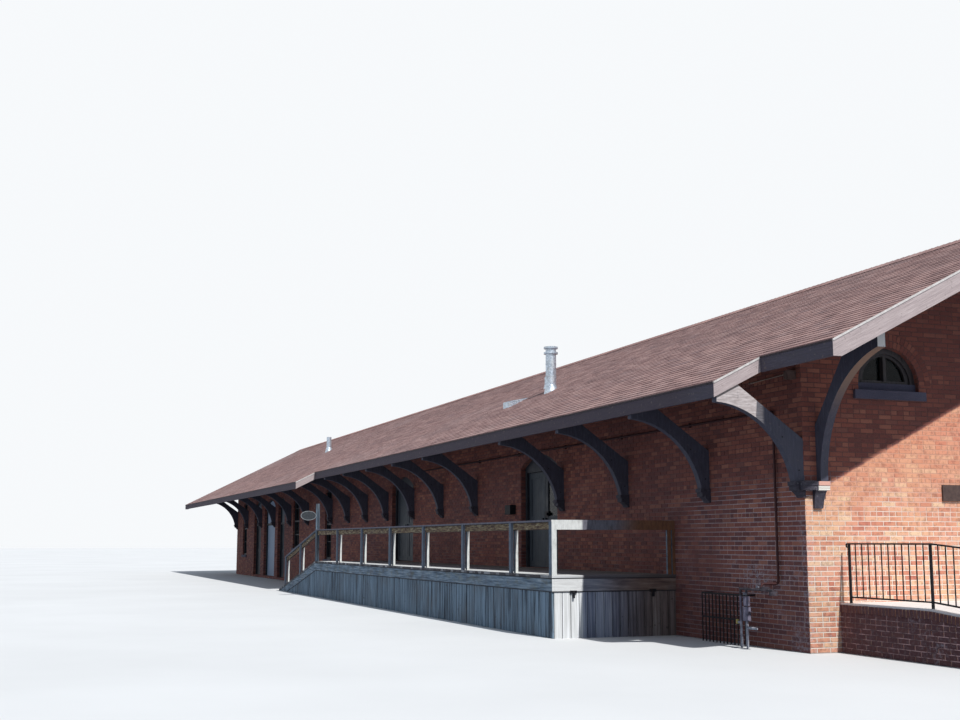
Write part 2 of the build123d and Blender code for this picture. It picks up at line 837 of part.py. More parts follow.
def door_leaf(name, door, low, high, hinge_sign, glazed=False, panels=2):
    """Panelled leaf between two edges, its half of the hinges at the high X edge, or the low one for -1."""
    base = door.sill + door_clearance
    head = leaf_head(door) - door_clearance
    pin_x = high + door_clearance / 2 if hinge_sign > 0 else low - door_clearance / 2
    panel_height = (head - base - leaf_stile * (panels + 1)) / panels
    panel_bases = [base + leaf_stile + index * (panel_height + leaf_stile) for index in range(panels)]
    glass = (low + leaf_stile, high - leaf_stile, panel_bases[-1], panel_bases[-1] + panel_height)
    with BuildPart() as leaf:
        with BuildSketch(elevation(frame_back)):
            rectangle(low, high, base, head)
            if glazed:
                rectangle(*glass, mode=Mode.SUBTRACT)
        extrude(amount=leaf_thickness)
        with BuildSketch(elevation(frame_back + leaf_thickness), elevation(frame_back + panel_recess)):
            for panel_base in panel_bases[:-1] if glazed else panel_bases:
                rectangle(low + leaf_stile, high - leaf_stile, panel_base, panel_base + panel_height)
        extrude(amount=-panel_recess, mode=Mode.SUBTRACT)
        for level in hinge_levels(door):
            for knuckle_base in (level + hinge_knuckle / 2 + seat_gap,
                                 level - hinge_knuckle * 1.5 - seat_gap):
                with BuildSketch(Plane.XY.offset(knuckle_base)):
                    with Locations((pin_x, hinge_y)):
                        Circle(hinge_radius)
                    plate_end = pin_x - hinge_sign * leaf_stile * 0.7
                    rectangle(min(pin_x, plate_end), max(pin_x, plate_end), -frame_back,
                              -frame_back + hinge_plate)
                    rectangle(pin_x - hinge_plate / 2, pin_x + hinge_plate / 2, -frame_back, hinge_y)
                extrude(amount=hinge_knuckle)
        knob_x = (low if hinge_sign > 0 else high) + hinge_sign * leaf_stile / 2
        with BuildSketch(elevation(frame_back + leaf_thickness)):
            with Locations((knob_x, (base + head) / 2)):
                Circle(knob_radius)
        extrude(amount=knob_length)
    finish(leaf.part, name)
    if glazed:
        with BuildPart() as pane:
            with BuildSketch(elevation(frame_back + leaf_thickness / 2 - glass_thickness / 2)):
                rectangle(glass[0] + seat_gap, glass[1] - seat_gap, glass[2] + seat_gap, glass[3] - seat_gap)
            extrude(amount=glass_thickness)
        finish(pane.part, name + "_glass")


def pair_of_leaves(door, far_name, near_name, near_glazed):
    low, high = clear_edges(door)
    middle = (low + high) / 2
    door_leaf(far_name, door, low + door_clearance, middle - door_clearance / 2, -1)
    door_leaf(near_name, door, middle + door_clearance / 2, high - door_clearance, 1, glazed=near_glazed)


def single_leaf(door, name):
    low, high = clear_edges(door)
    door_leaf(name, door, low + door_clearance, high - door_clearance, -1)


pair_of_leaves(door_one, "first_door_far_leaf", "first_door_near_leaf", near_glazed=True)
pair_of_leaves(door_two, "second_door_far_leaf", "second_door_near_leaf", near_glazed=False)
single_leaf(door_grey, "grey_door_leaf")
single_leaf(door_white, "white_door_leaf")
single_leaf(door_dark, "dark_door_leaf")

# Closed doors of the unseen sides, which carry no joint
with BuildPart() as back_leaves:
    with BuildSketch(elevation(frame_back)):
        for door in back_doors:
            outline(door, seat_gap, Mode.ADD)
    extrude(amount=leaf_thickness)
    mirror(about=Plane.XZ, mode=Mode.REPLACE)
with BuildPart() as fixed_doors:
    add(back_leaves.part)
    for name, x in gable_wall_planes.items():
        with BuildSketch(Plane.YZ.offset(x + wall_thickness / 2)):
            rectangle(-gable_door_width / 2 + seat_gap, gable_door_width / 2 - seat_gap,
                      gable_door_sill[name] + seat_gap, gable_door_head[name] - seat_gap)
        extrude(amount=leaf_thickness)
finish(fixed_doors.part, "fixed_doors")

# Timber platform
deck_near = station(deck_start)
deck_far = station(deck_end)
ramp_end = deck_far - ramp_length
deck_edge = half_depth + deck_width
deck_under = freight_floor - deck_thickness
ramp_slope = (freight_floor - ramp_toe) / ramp_length


def ramp_level(x):
    """Height of the platform's walking surface at x, along the deck and down its ramp."""
    return freight_floor - max(0, deck_far - x) * ramp_slope


with BuildPart() as deck:
    with BuildSketch(elevation(half_depth + seat_gap)):
        rectangle(deck_far, deck_near + deck_nosing, deck_under, freight_floor)
        with BuildLine():
            Polyline((deck_far - seat_gap, deck_under), (deck_far - seat_gap, freight_floor),
                     (ramp_end, ramp_toe), (ramp_end, ramp_toe - deck_thickness), close=True)
        make_face()
    extrude(amount=deck_width + deck_nosing)
finish(deck.part, "platform_deck")

# Rim board under the deck's edge, and the upright skirt boards down to the ground
rim_toe = deck_far - (deck_under - rim_depth) / ramp_slope
with BuildPart() as rim:
    with BuildSketch(elevation(deck_edge - rim_thickness)):
        with BuildLine():
            Polyline((deck_near, deck_under - rim_depth), (deck_near, deck_under - seat_gap),
                     (deck_far, deck_under - seat_gap), (ramp_end, 0), (rim_toe, 0),
                     (deck_far, deck_under - rim_depth), close=True)
        make_face()
    extrude(amount=rim_thickness)
    with BuildSketch(Plane.YZ.offset(deck_near - rim_thickness)):
        rectangle(-deck_edge + rim_thickness + seat_gap, -half_depth - seat_gap, deck_under - rim_depth,
                  deck_under - seat_gap)
    extrude(amount=rim_thickness)
finish(rim.part, "platform_rim")

skirt_top = deck_under - rim_depth - seat_gap
with BuildPart() as skirt:
    with BuildSketch(elevation(deck_edge - skirt_setback - skirt_thickness)):
        with BuildLine():
            Polyline((deck_near - skirt_setback, 0), (deck_near - skirt_setback, skirt_top),
                     (deck_far, skirt_top), (rim_toe + seat_gap / ramp_slope, 0), close=True)
        make_face()
    extrude(amount=skirt_thickness)
    with BuildSketch(Plane.YZ.offset(deck_near - skirt_setback - skirt_thickness)):
        rectangle(-deck_edge + skirt_setback + skirt_thickness + seat_gap, -half_depth - seat_gap, 0,
                  skirt_top)
    extrude(amount=skirt_thickness)
finish(skirt.part, "platform_skirt")

# Beams and short piers under the deck
beam_rows = (half_depth + pier_size, half_depth + deck_width / 2, deck_edge - rim_thickness - pier_size)
bay_count = int((deck_near - deck_far) // rail_bay)
post_places = [deck_far + index * rail_bay for index in range(bay_count + 1)]
with BuildPart() as platform_frame:
    for row in beam_rows:
        with BuildSketch(elevation(row - beam_width / 2)):
            rectangle(deck_far, deck_near - rim_thickness - seat_gap, deck_under - beam_depth,
                      deck_under - seat_gap)
            for x in post_places:
                rectangle(x, x + pier_size, 0, deck_under - beam_depth)
        extrude(amount=beam_width)
finish(platform_frame.part, "platform_frame")

# Rails: posts of two boards with an upright rail board between them, and a flat cap, along deck and ramp
rail_line = deck_edge - rail_board_thickness - rail_post_thickness
ramp_posts = [deck_far - (index + 1) * ramp_post_bay for index in range(int(ramp_length // ramp_post_bay))]
rail_end = ramp_posts[-1]


def rail_band(low_offset, high_offset):
    """Band at a height above the walking surface, level along the deck and sloping down the ramp."""
    with BuildLine() as border:
        Polyline((deck_near, freight_floor + low_offset), (deck_near, freight_floor + high_offset),
                 (deck_far, freight_floor + high_offset), (rail_end, ramp_level(rail_end) + high_offset),
                 (rail_end, ramp_level(rail_end) + low_offset), (deck_far, freight_floor + low_offset),
                 close=True)
    make_face(border.edges())


rail_top = rail_height - rail_cap_thickness
rail_cap_line = rail_line + rail_board_thickness / 2 - rail_cap_width / 2
deck_posts = [place - rail_post_width for place in post_places[1:]]
post_head = rail_top + rail_cap_thickness / 2
end_posts = ((0, rail_wall_post), (rail_wall_post + rail_end_gap, rail_end_post))
with BuildPart() as platform_rail:
    with BuildSketch(elevation(rail_line)):
        rail_band(rail_top - rail_board_depth, rail_top)
    extrude(amount=rail_board_thickness)
    with BuildSketch(elevation(rail_cap_line)):
        rail_band(rail_top, rail_height)
    extrude(amount=rail_cap_width)
    for x in (*deck_posts, *ramp_posts):
        foot = ramp_level(x + rail_post_width) + seat_gap
        head = ramp_level(x + rail_post_width / 2) + post_head
        for face in (rail_line + rail_board_thickness, rail_line - rail_post_thickness):
            with BuildSketch(elevation(face)):
                rectangle(x, x + rail_post_width, foot, head)
            extrude(amount=rail_post_thickness)
    with BuildSketch(elevation(deck_edge - rail_corner_post[1])):
        rectangle(deck_near - rail_corner_post[0], deck_near, freight_floor + seat_gap,
                  freight_floor + post_head)
    extrude(amount=rail_corner_post[1])
    with BuildSketch(elevation(rail_line - rail_post_width)):
        rectangle(deck_far - rail_post_width / 2 - seat_gap, deck_far + rail_post_width / 2 + seat_gap,
                  freight_floor, freight_floor + rail_height * 2)
    extrude(amount=rail_post_width * 3, mode=Mode.SUBTRACT)
    with BuildSketch(Plane.YZ.offset(deck_near - rail_board_thickness)):
        rectangle(seat_gap - rail_line, -half_depth - seat_gap, freight_floor + rail_top - rail_board_depth,
                  freight_floor + rail_top)
        for distance, width in end_posts:
            rectangle(-half_depth - seat_gap - distance - width, -half_depth - seat_gap - distance,
                      freight_floor, freight_floor + rail_top)
    extrude(amount=rail_board_thickness)
    with BuildSketch(Plane.YZ.offset(deck_near - rail_cap_width)):
        rectangle(seat_gap - rail_cap_line, -half_depth - seat_gap, freight_floor + rail_top,
                  freight_floor + rail_height)
    extrude(amount=rail_cap_width)
finish(platform_rail.part, "platform_rail")

# Tall post at the top of the ramp with a bare oval board
with BuildPart() as sign_post:
    with BuildSketch(elevation(deck_edge - rail_post_width)):
        rectangle(deck_far - rail_post_width / 2, deck_far + rail_post_width / 2, freight_floor,
                  freight_floor + sign_post_height)
    extrude(amount=rail_post_width - seat_gap)
finish(sign_post.part, "sign_post")

with BuildPart() as sign:
    with BuildSketch(Plane.YZ.offset(deck_far)):
        with Locations((-deck_edge - sign_width / 2, sign_level)):
            Ellipse(sign_width / 2, sign_height / 2)
    extrude(amount=sign_thickness)
finish(sign.part, "oval_sign")

# Brick landing and ramp at the near gable
landing_face = -half_depth + landing_start
landing_back = -half_depth + landing_end
landing_edge = half_length + landing_depth
gable_ramp_end = landing_edge + gable_ramp_length
gable_ramp_back = landing_face + gable_ramp_width
slab_under = landing_level - ramp_slab_thickness
gable_ramp_slope = (landing_level - ramp_slab_thickness) / gable_ramp_length

with BuildPart() as landing_slab:
    with BuildSketch(Plane.XY.offset(slab_under)):
        rectangle(half_length + seat_gap, landing_edge - seat_gap, landing_face, landing_back)
    extrude(amount=ramp_slab_thickness)
    with BuildSketch(elevation(-gable_ramp_back)):
        with BuildLine():
            Polyline((landing_edge, slab_under), (landing_edge, landing_level),
                     (gable_ramp_end, ramp_slab_thickness), (gable_ramp_end, 0), close=True)
        make_face()
    extrude(amount=gable_ramp_width)
finish(landing_slab.part, "gable_ramp_slab")

with BuildPart() as ramp_walls:
    for y in (landing_face, gable_ramp_back - ramp_wall_thickness):
        with BuildSketch(elevation(-y - ramp_wall_thickness)):
            with BuildLine():
                Polyline((landing_edge + seat_gap, 0), (landing_edge + seat_gap, slab_under - seat_gap),
                         (gable_ramp_end - seat_gap / gable_ramp_slope, 0), close=True)
            make_face()
        extrude(amount=ramp_wall_thickness)
    with BuildSketch(Plane.XY):
        rectangle(half_length + seat_gap, landing_edge, landing_face, landing_face + ramp_wall_thickness)
        rectangle(half_length + seat_gap, landing_edge, landing_back - ramp_wall_thickness, landing_back)
        rectangle(landing_edge - ramp_wall_thickness, landing_edge, gable_ramp_back - ramp_wall_thickness,
                  landing_back - ramp_wall_thickness - seat_gap)
    extrude(amount=slab_under - seat_gap)
finish(ramp_walls.part, "gable_ramp_walls")


def gable_ramp_level(x):
    return landing_level - max(0, x - landing_edge) * gable_ramp_slope


first_rail_post = half_length + railing_start
railing_bays = int((gable_ramp_end - first_rail_post) // railing_bay)
rail_posts = [first_rail_post + index * railing_bay for index in range(railing_bays + 1)]
bar_spacing = railing_bay / (bars_in_bay + 1)
rail_bars = [post + (bar + 1) * bar_spacing for post in rail_posts[:-1] for bar in range(bars_in_bay)]
rail_tail = railing_post / 2


def railing_band(base, depth, start, end):
    knee = min(max(start, landing_edge), end)
    with BuildLine() as border:
        Polyline((start, gable_ramp_level(start) + base), (knee, gable_ramp_level(knee) + base),
                 (end + rail_tail, gable_ramp_level(end) + base),
                 (end + rail_tail, gable_ramp_level(end) + base + depth),
                 (knee, gable_ramp_level(knee) + base + depth),
                 (start, gable_ramp_level(start) + base + depth), close=True)
    make_face(border.edges())


def ramp_railing(y, start_index):
    """Railing beside the ramp: posts, two rails and upright bars, from one of the posts to the last."""
    start = rail_posts[start_index]
    end = rail_posts[-1]
    with BuildSketch(elevation(-y - railing_rail / 2)) as rails:
        railing_band(railing_height - railing_rail, railing_rail, start, end)
        railing_band(railing_foot, railing_rail, start, end)
    extrude(rails.sketch, amount=railing_rail)
    with BuildSketch(elevation(-y - railing_bar / 2)) as bars:
        for x in rail_bars:
            if x > start:
                level = gable_ramp_level(x)
                rectangle(x - railing_bar / 2, x + railing_bar / 2, level + railing_foot,
                          level + railing_height - railing_rail)
    extrude(bars.sketch, amount=railing_bar)
    with BuildSketch(elevation(-y - railing_post / 2)) as posts:
        for x in rail_posts[start_index:]:
            level = gable_ramp_level(x)
            foot = gable_ramp_level(x - railing_post / 2) + seat_gap
            rectangle(x - railing_post / 2, x + railing_post / 2, foot, level + railing_height)
    extrude(posts.sketch, amount=railing_post)


track_railing_y = landing_face + railing_inset
with BuildPart() as near_railing:
    ramp_railing(track_railing_y, 0)
    with BuildSketch(elevation(-track_railing_y - railing_rail / 2)):
        scroll_height = landing_level + railing_height - scroll_radius
        with Locations((first_rail_post - railing_post / 2 - scroll_radius / 2, scroll_height)):
            Circle(scroll_radius)
            Circle(scroll_radius - railing_rail / 2, mode=Mode.SUBTRACT)
    extrude(amount=railing_rail)
finish(near_railing.part, "ramp_railing")

ramp_back_railing_y = gable_ramp_back - railing_inset
landing_rail_start = ramp_back_railing_y + railing_post / 2 + seat_gap
landing_rail_end = landing_back - railing_inset - railing_post / 2 - seat_gap
landing_side_y = landing_back - railing_inset
with BuildPart() as far_railing:
    ramp_railing(ramp_back_railing_y, 1)
    with BuildSketch(Plane.YZ.offset(rail_posts[1] - railing_rail / 2)):
        for low in (railing_foot, railing_height - railing_rail):
            rectangle(landing_rail_start, landing_rail_end, landing_level + low,
                      landing_level + low + railing_rail)
        for index in range(1, cross_bars):
            y = landing_rail_start + (landing_rail_end - landing_rail_start) * index / cross_bars
            rectangle(y - railing_bar / 2, y + railing_bar / 2, landing_level + railing_foot,
                      landing_level + railing_height - railing_rail)
    extrude(amount=railing_rail)
    with BuildSketch(elevation(-landing_side_y - railing_rail / 2)):
        for low in (railing_foot, railing_height - railing_rail):
            rectangle(first_rail_post, rail_posts[1], landing_level + low,
                      landing_level + low + railing_rail)
        for x in rail_bars[:bars_in_bay]:
            rectangle(x - railing_bar / 2, x + railing_bar / 2, landing_level + railing_foot,
                      landing_level + railing_height - railing_rail)
    extrude(amount=railing_rail)
    with BuildSketch(elevation(-landing_side_y - railing_post / 2)):
        for x in (first_rail_post, rail_posts[1]):
            rectangle(x - railing_post / 2, x + railing_post / 2, landing_level + seat_gap,
                      landing_level + railing_height)
    extrude(amount=railing_post)
finish(far_railing.part, "landing_railing")

# Flue with storm collar and cap, standing plumb on the track slope
flue_base = roof_top(flue_run - flue_skirt_radius)
flue_top = roof_top(flue_run) + flue_height
above_roof = Plane(origin=(0, -half_depth, roof_at_wall + seat_gap), x_dir=(1, 0, 0),
                   z_dir=(0, -roof_rise, 1))
flue_place = (station(flue_station), flue_run - half_depth)
with BuildPart() as flue:
    with BuildSketch(Plane.XY.offset(flue_base)):
        with Locations(flue_place):
            Circle(flue_radius)
    extrude(amount=flue_top - flue_base)
    with BuildSketch(Plane.XY.offset(flue_base)):
        with Locations(flue_place):
            Circle(flue_skirt_radius)
    extrude(amount=flue_skirt_height, taper=flue_skirt_taper)
    with BuildSketch(Plane.XY.offset(flue_top - flue_cap_rise), Plane.XY.offset(flue_top)):
        with Locations(flue_place):
            Circle(flue_collar_radius)
    extrude(amount=flue_collar)
    split(bisect_by=above_roof, keep=Keep.TOP)
finish(flue.part, "roof_flue")

# Small vent pipe, slanted box vent and plumbing stack on the same slope
round_vents = ((station(vent_pipe_station), vent_pipe_run, vent_pipe_radius, vent_pipe_height),
               (station(from_far_corner(stack_station)), stack_run, stack_radius, stack_height))
with BuildPart() as vents:
    for x, run, radius, height in round_vents:
        base = roof_top(run - radius * boot_flare)
        with BuildSketch(Plane.XY.offset(base)):
            with Locations((x, run - half_depth)):
                Circle(radius)
        extrude(amount=roof_top(run) + height - base)
        with BuildSketch(Plane.XY.offset(base)):
            with Locations((x, run - half_depth)):
                Circle(radius * boot_flare)
        extrude(amount=radius * boot_rise, taper=boot_taper)
    low_run = slant_vent_run - slant_vent_low
    high_run = slant_vent_run + slant_vent_high
    with BuildSketch(Plane.YZ.offset(station(slant_vent_station) - slant_vent_width / 2)):
        with BuildLine():
            Polyline((low_run - half_depth, roof_top(low_run)),
                     (low_run - half_depth, roof_top(low_run) + slant_vent_height),
                     (high_run - half_depth, roof_top(high_run)), close=True)
        make_face()
    extrude(amount=slant_vent_width)
    split(bisect_by=above_roof, keep=Keep.TOP)
finish(vents.part, "roof_vents")

# Gas meter by the near corner: two standing pipes, one through the round meter, and a header with regulators
gas_x = station(gas_station)
meter_x = gas_x - meter_offset
inlet_x = gas_x - inlet_offset
meter_y = -half_depth - gas_clear
level_pipes = ((inlet_x - meter_pipe_radius, gas_x + regulators[-1][0], header_level),
               (inlet_x - valve_length, inlet_x, valve_level), (meter_x, meter_x + drain_length, drain_level))
with BuildPart() as gas_meter:
    with BuildSketch(Plane.XY):
        with Locations((inlet_x, meter_y), (meter_x, meter_y)):
            Circle(meter_pipe_radius)
    extrude(amount=header_level)
    for start, end, level in level_pipes:
        with BuildSketch(Plane.YZ.offset(start)):
            with Locations((meter_y, level)):
                Circle(meter_pipe_radius)
        extrude(amount=end - start)
    for low, high, radius in meter_drums:
        with BuildSketch(Plane.XY.offset(low)):
            with Locations((meter_x, meter_y)):
                Circle(radius)
        extrude(amount=high - low)
    for offset, base in regulators:
        with BuildSketch(Plane.XY.offset(base)):
            with Locations((gas_x + offset, meter_y)):
                Circle(regulator_radius)
        extrude(amount=regulator_thickness)
finish(gas_meter.part, "gas_meter")

# Gas pipe: a riser from the header across to the wall and up it, and a run along under the eave
pipe_y = -half_depth - pipe_standoff
riser_foot = header_level + meter_pipe_radius + seat_gap
with BuildPart() as riser:
    with BuildLine() as riser_route:
        FilletPolyline((gas_x, meter_y, riser_foot), (gas_x, meter_y, outlet_level),
                       (gas_x, pipe_y, outlet_level), (gas_x, pipe_y, pipe_level),
                       (gas_x - pipe_joint, pipe_y, pipe_level), radius=pipe_bend)
    with BuildSketch(Plane(origin=riser_route.line @ 0, z_dir=riser_route.line % 0)):
        Circle(pipe_radius)
    sweep()
with BuildPart() as wall_pipe:
    add(riser.part)
    run_start = gas_x - pipe_joint - seat_gap
    with BuildSketch(Plane.YZ.offset(station(pipe_end))):
        with Locations((pipe_y, pipe_level)):
            Circle(pipe_radius)
    extrude(amount=run_start - station(pipe_end))
    with BuildSketch(elevation(half_depth + seat_gap)):
        for distance in range(clip_start, pipe_end, clip_spacing):
            with Locations((station(distance), pipe_level)):
                Rectangle(clip_width, clip_height)
    extrude(amount=pipe_standoff)
finish(wall_pipe.part, "wall_pipe")

# Lamp under the near eave and box lamp beside the first door
with BuildPart() as lamps:
    with BuildSketch(elevation(half_depth + seat_gap)):
        with Locations((station(eave_lamp_station), eave_lamp_level)):
            Rectangle(eave_lamp_width, eave_lamp_height)
        with Locations((station(box_lamp_station), box_lamp_level)):
            Rectangle(box_lamp_width, box_lamp_height)
    extrude(amount=lamp_depth)
finish(lamps.part, "wall_lamps")

# Low black guard on two arms from the wall
with BuildPart() as guard:
    with BuildSketch(elevation(half_depth + seat_gap)):
        for x in (station(guard_end), station(guard_start) - guard_iron):
            rectangle(x, x + guard_iron, guard_height - guard_rail, guard_height)
    extrude(amount=guard_standoff - seat_gap)
    with BuildSketch(elevation(half_depth + guard_standoff)):
        rectangle(station(guard_end), station(guard_start), guard_height - guard_rail, guard_height)
        rectangle(station(guard_end), station(guard_start), (guard_height - guard_rail) / 2,
                  (guard_height + guard_rail) / 2)
        for index in range(guard_bars):
            x = station(guard_end) + (guard_end - guard_start - guard_iron) * index / (guard_bars - 1)
            rectangle(x, x + guard_iron, 0, guard_height)
    extrude(amount=guard_iron)
finish(guard.part, "wall_guard")

# Bare plaque on the near gable
with BuildPart() as plaque:
    with BuildSketch(Plane.YZ.offset(half_length + seat_gap)):
        rectangle(-half_depth + plaque_start, -half_depth + plaque_start + plaque_width, plaque_base,
                  plaque_base + plaque_height)
    extrude(amount=plaque_thickness)
finish(plaque.part, "gable_plaque")
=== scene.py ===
import math
import random

import bmesh
import bpy
from mathutils import Matrix, Vector


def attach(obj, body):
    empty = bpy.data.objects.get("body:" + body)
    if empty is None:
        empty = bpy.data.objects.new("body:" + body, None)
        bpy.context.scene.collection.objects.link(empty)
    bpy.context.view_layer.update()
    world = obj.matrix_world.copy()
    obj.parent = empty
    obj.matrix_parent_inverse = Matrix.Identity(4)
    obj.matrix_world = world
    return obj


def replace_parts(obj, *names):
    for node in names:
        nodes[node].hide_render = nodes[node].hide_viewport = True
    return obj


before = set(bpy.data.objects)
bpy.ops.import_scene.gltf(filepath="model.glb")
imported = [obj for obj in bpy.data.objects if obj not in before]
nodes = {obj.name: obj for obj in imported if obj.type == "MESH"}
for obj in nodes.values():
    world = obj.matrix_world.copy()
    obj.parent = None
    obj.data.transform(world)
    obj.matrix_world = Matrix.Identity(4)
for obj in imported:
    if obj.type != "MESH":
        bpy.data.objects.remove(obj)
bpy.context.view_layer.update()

# Sizes of the building in metres, in the frame of the CAD part
HALF_LENGTH = 11.375
HALF_DEPTH = 1.875
ROOF_AT_WALL = 2.152
ROOF_RISE = 0.505
SLOPE = math.atan(ROOF_RISE)
WALL_TOP = ROOF_AT_WALL - 0.06
GABLE_TOP = 3.03
NEAR_EAVE = 0.32
MIDDLE_EAVE = 0.69
FAR_EAVE = 0.985
NEAR_END = HALF_LENGTH + 0.81
FAR_END = -HALF_LENGTH - 1.9
FAR_STEP = HALF_LENGTH - 11.75
EAVES = ((HALF_LENGTH, NEAR_END, NEAR_EAVE), (FAR_STEP, HALF_LENGTH, MIDDLE_EAVE),
         (FAR_END, FAR_STEP, FAR_EAVE))
ARCH_TOP = 1.63
ARCH_RATIO = 0.13
SILL = 0.05
SILL_HORN = 0.03
WINDOW_FACE = HALF_DEPTH - 0.028
LEAF_FACE = HALF_DEPTH - 0.076
PALE_DOOR = (-8.06, -6.84)
LUNETTE_RADIUS = 0.26
LUNETTE_BASE = 1.795
LUNETTE_SPRING = 1.845
LUNETTE_SILL = 0.063
LUNETTE_HORN = 0.045
GAS_METER = (10.74, 0.47)

# Deck and its ramp
DECK_TOP = 0.48
DECK_NEAR = 9.575
DECK_FAR = 1.49
DECK_EDGE = HALF_DEPTH + 1.09
RAMP_END = -0.925
RAMP_TOE = 0.02
DECK_FALL = (DECK_TOP - RAMP_TOE) / (DECK_FAR - RAMP_END)
RAMP_TURN = math.atan(DECK_FALL)
# Line across the deck where the roof's shadow ends: colours inside it are painted shade, outside it painted
# sunlight
SHADED_TO = -2.69
SUNLIT_FROM = -2.712
RAIL_BOARDS = -(DECK_EDGE - 0.0215)

# Landing and ramp at the near gable
LANDING = 0.33
LANDING_EDGE = 12.26
LANDING_FACE = -1.625
LANDING_BACK = 0.45
GABLE_RAMP_END = 15.69
GABLE_RAMP_BACK = -0.605
SLAB = 0.034
RAMP_SLOPE = (LANDING - SLAB) / (GABLE_RAMP_END - LANDING_EDGE)
PAST_GABLE = HALF_LENGTH + 0.01

# Brickwork
COURSE = 0.03385
BRICK = 0.106
JOINT = 0.0058
WIDE_JOINT = 0.008
GABLE_JOINTS = ((0.0, 0.44, 0.0092), (0.44, 4.0, 0.0066))
PROUD = 0.0026
FLUSH = 0.0011
RING = 0.051
HEADER_EVERY = 7
SMALLEST_BRICK = 0.012
UNEVEN = 0.0006

# Brackets and their corbels
BRACKET_FACES = (0, 1.235, 2.6, 3.97, 6.39, 7.615, 8.825, 10.055, 11.165, 12.235, 13.38, 15.16, 16.68, 18.21,
                 19.65, 21.3, 22.69)
BRACKET_WIDTH = 0.06
CORBEL_TOP = 1.1447
GABLE_CORBEL_TOP = 1.1467

QUARTER = math.pi / 2


def colour(red, green, blue, gain=1.0):
    """Linear colour from the 0 to 255 values of a swatch, made brighter by a gain."""
    parts = [value / 255 for value in (red, green, blue)]
    linear = [part / 12.92 if part <= 0.04045 else ((part + 0.055) / 1.055) ** 2.4 for part in parts]
    return tuple(min(1.0, part * gain) for part in linear) + (1.0,)


# Camera at the photograph's viewing angle
CAMERA_PLACE = (18.606, -6.929, 0.735)
YAW = math.radians(20.45)
PITCH = math.radians(8.3)
camera_data = bpy.data.cameras.new("view_from_the_track")
camera_data.lens = 46.875
camera_data.sensor_width = 36
camera_data.clip_end = 400
camera = bpy.data.objects.new("view_from_the_track", camera_data)
forward = Vector((-math.cos(YAW) * math.cos(PITCH), math.sin(YAW) * math.cos(PITCH), math.sin(PITCH)))
right = Vector((math.sin(YAW), math.cos(YAW), 0))
turn_of_view = Matrix((right, right.cross(forward), -forward)).transposed().to_4x4()
camera.matrix_world = Matrix.Translation(CAMERA_PLACE) @ turn_of_view
bpy.context.scene.collection.objects.link(camera)
bpy.context.scene.camera = camera


def math_node(operation, reflected=False):
    """A method that adds a Math node, with its own socket last where the operator is reflected."""

    def method(self, *others):
        values = (*others, self) if reflected else (self, *others)
        return self.graph.node("ShaderNodeMath", {"operation": operation}, dict(enumerate(values)))

    return method


class Signal:
    """A node's socket. Python operators on it add Math nodes to its tree."""

    def __init__(self, graph, socket):
        self.graph = graph
        self.socket = socket

    def sibling(self, name):
        return Signal(self.graph, self.socket.node.outputs[name])

    __add__ = math_node("ADD")
    __radd__ = math_node("ADD", True)
    __sub__ = math_node("SUBTRACT")
    __rsub__ = math_node("SUBTRACT", True)
    __mul__ = math_node("MULTIPLY")
    __rmul__ = math_node("MULTIPLY", True)
    __truediv__ = math_node("DIVIDE")
    __rtruediv__ = math_node("DIVIDE", True)
    __mod__ = math_node("FLOORED_MODULO")
    __rmod__ = math_node("FLOORED_MODULO", True)
    __gt__ = math_node("GREATER_THAN")
    __lt__ = math_node("LESS_THAN")
    __abs__ = math_node("ABSOLUTE")
    floor = math_node("FLOOR")
    fraction = math_node("FRACT")
    smaller = math_node("MINIMUM")
    larger = math_node("MAXIMUM")


class Graph:
    """A node tree, for shaders and for geometry."""

    def __init__(self, tree):
        self.tree = tree

    def put(self, target, value):
        """Links a signal to a socket, or sets the socket's own value."""
        if isinstance(value, Signal):
            self.tree.links.new(value.socket, target)
        else:
            target.default_value = value

    def node(self, kind, settings=None, values=None):
        """Adds a node: its settings first, then values or links for its sockets. Gives its first output."""
        made = self.tree.nodes.new(kind)
        for name, value in (settings or {}).items():
            if name == "stops":
                ramp = made.color_ramp
                while len(ramp.elements) < len(value):
                    ramp.elements.new(0.5)
                for element, (place, tone) in zip(ramp.elements, value):
                    element.position = place
                    element.color = tone
            else:
                setattr(made, name, value)
        for key, value in (values or {}).items():
            if isinstance(key, int):
                self.put(made.inputs[key], value)
            else:
                self.put(next(s for s in made.inputs if s.enabled and key in (s.name, s.identifier)), value)
        shown = next((s for s in made.outputs if s.enabled), None)
        return Signal(self, shown) if shown else made


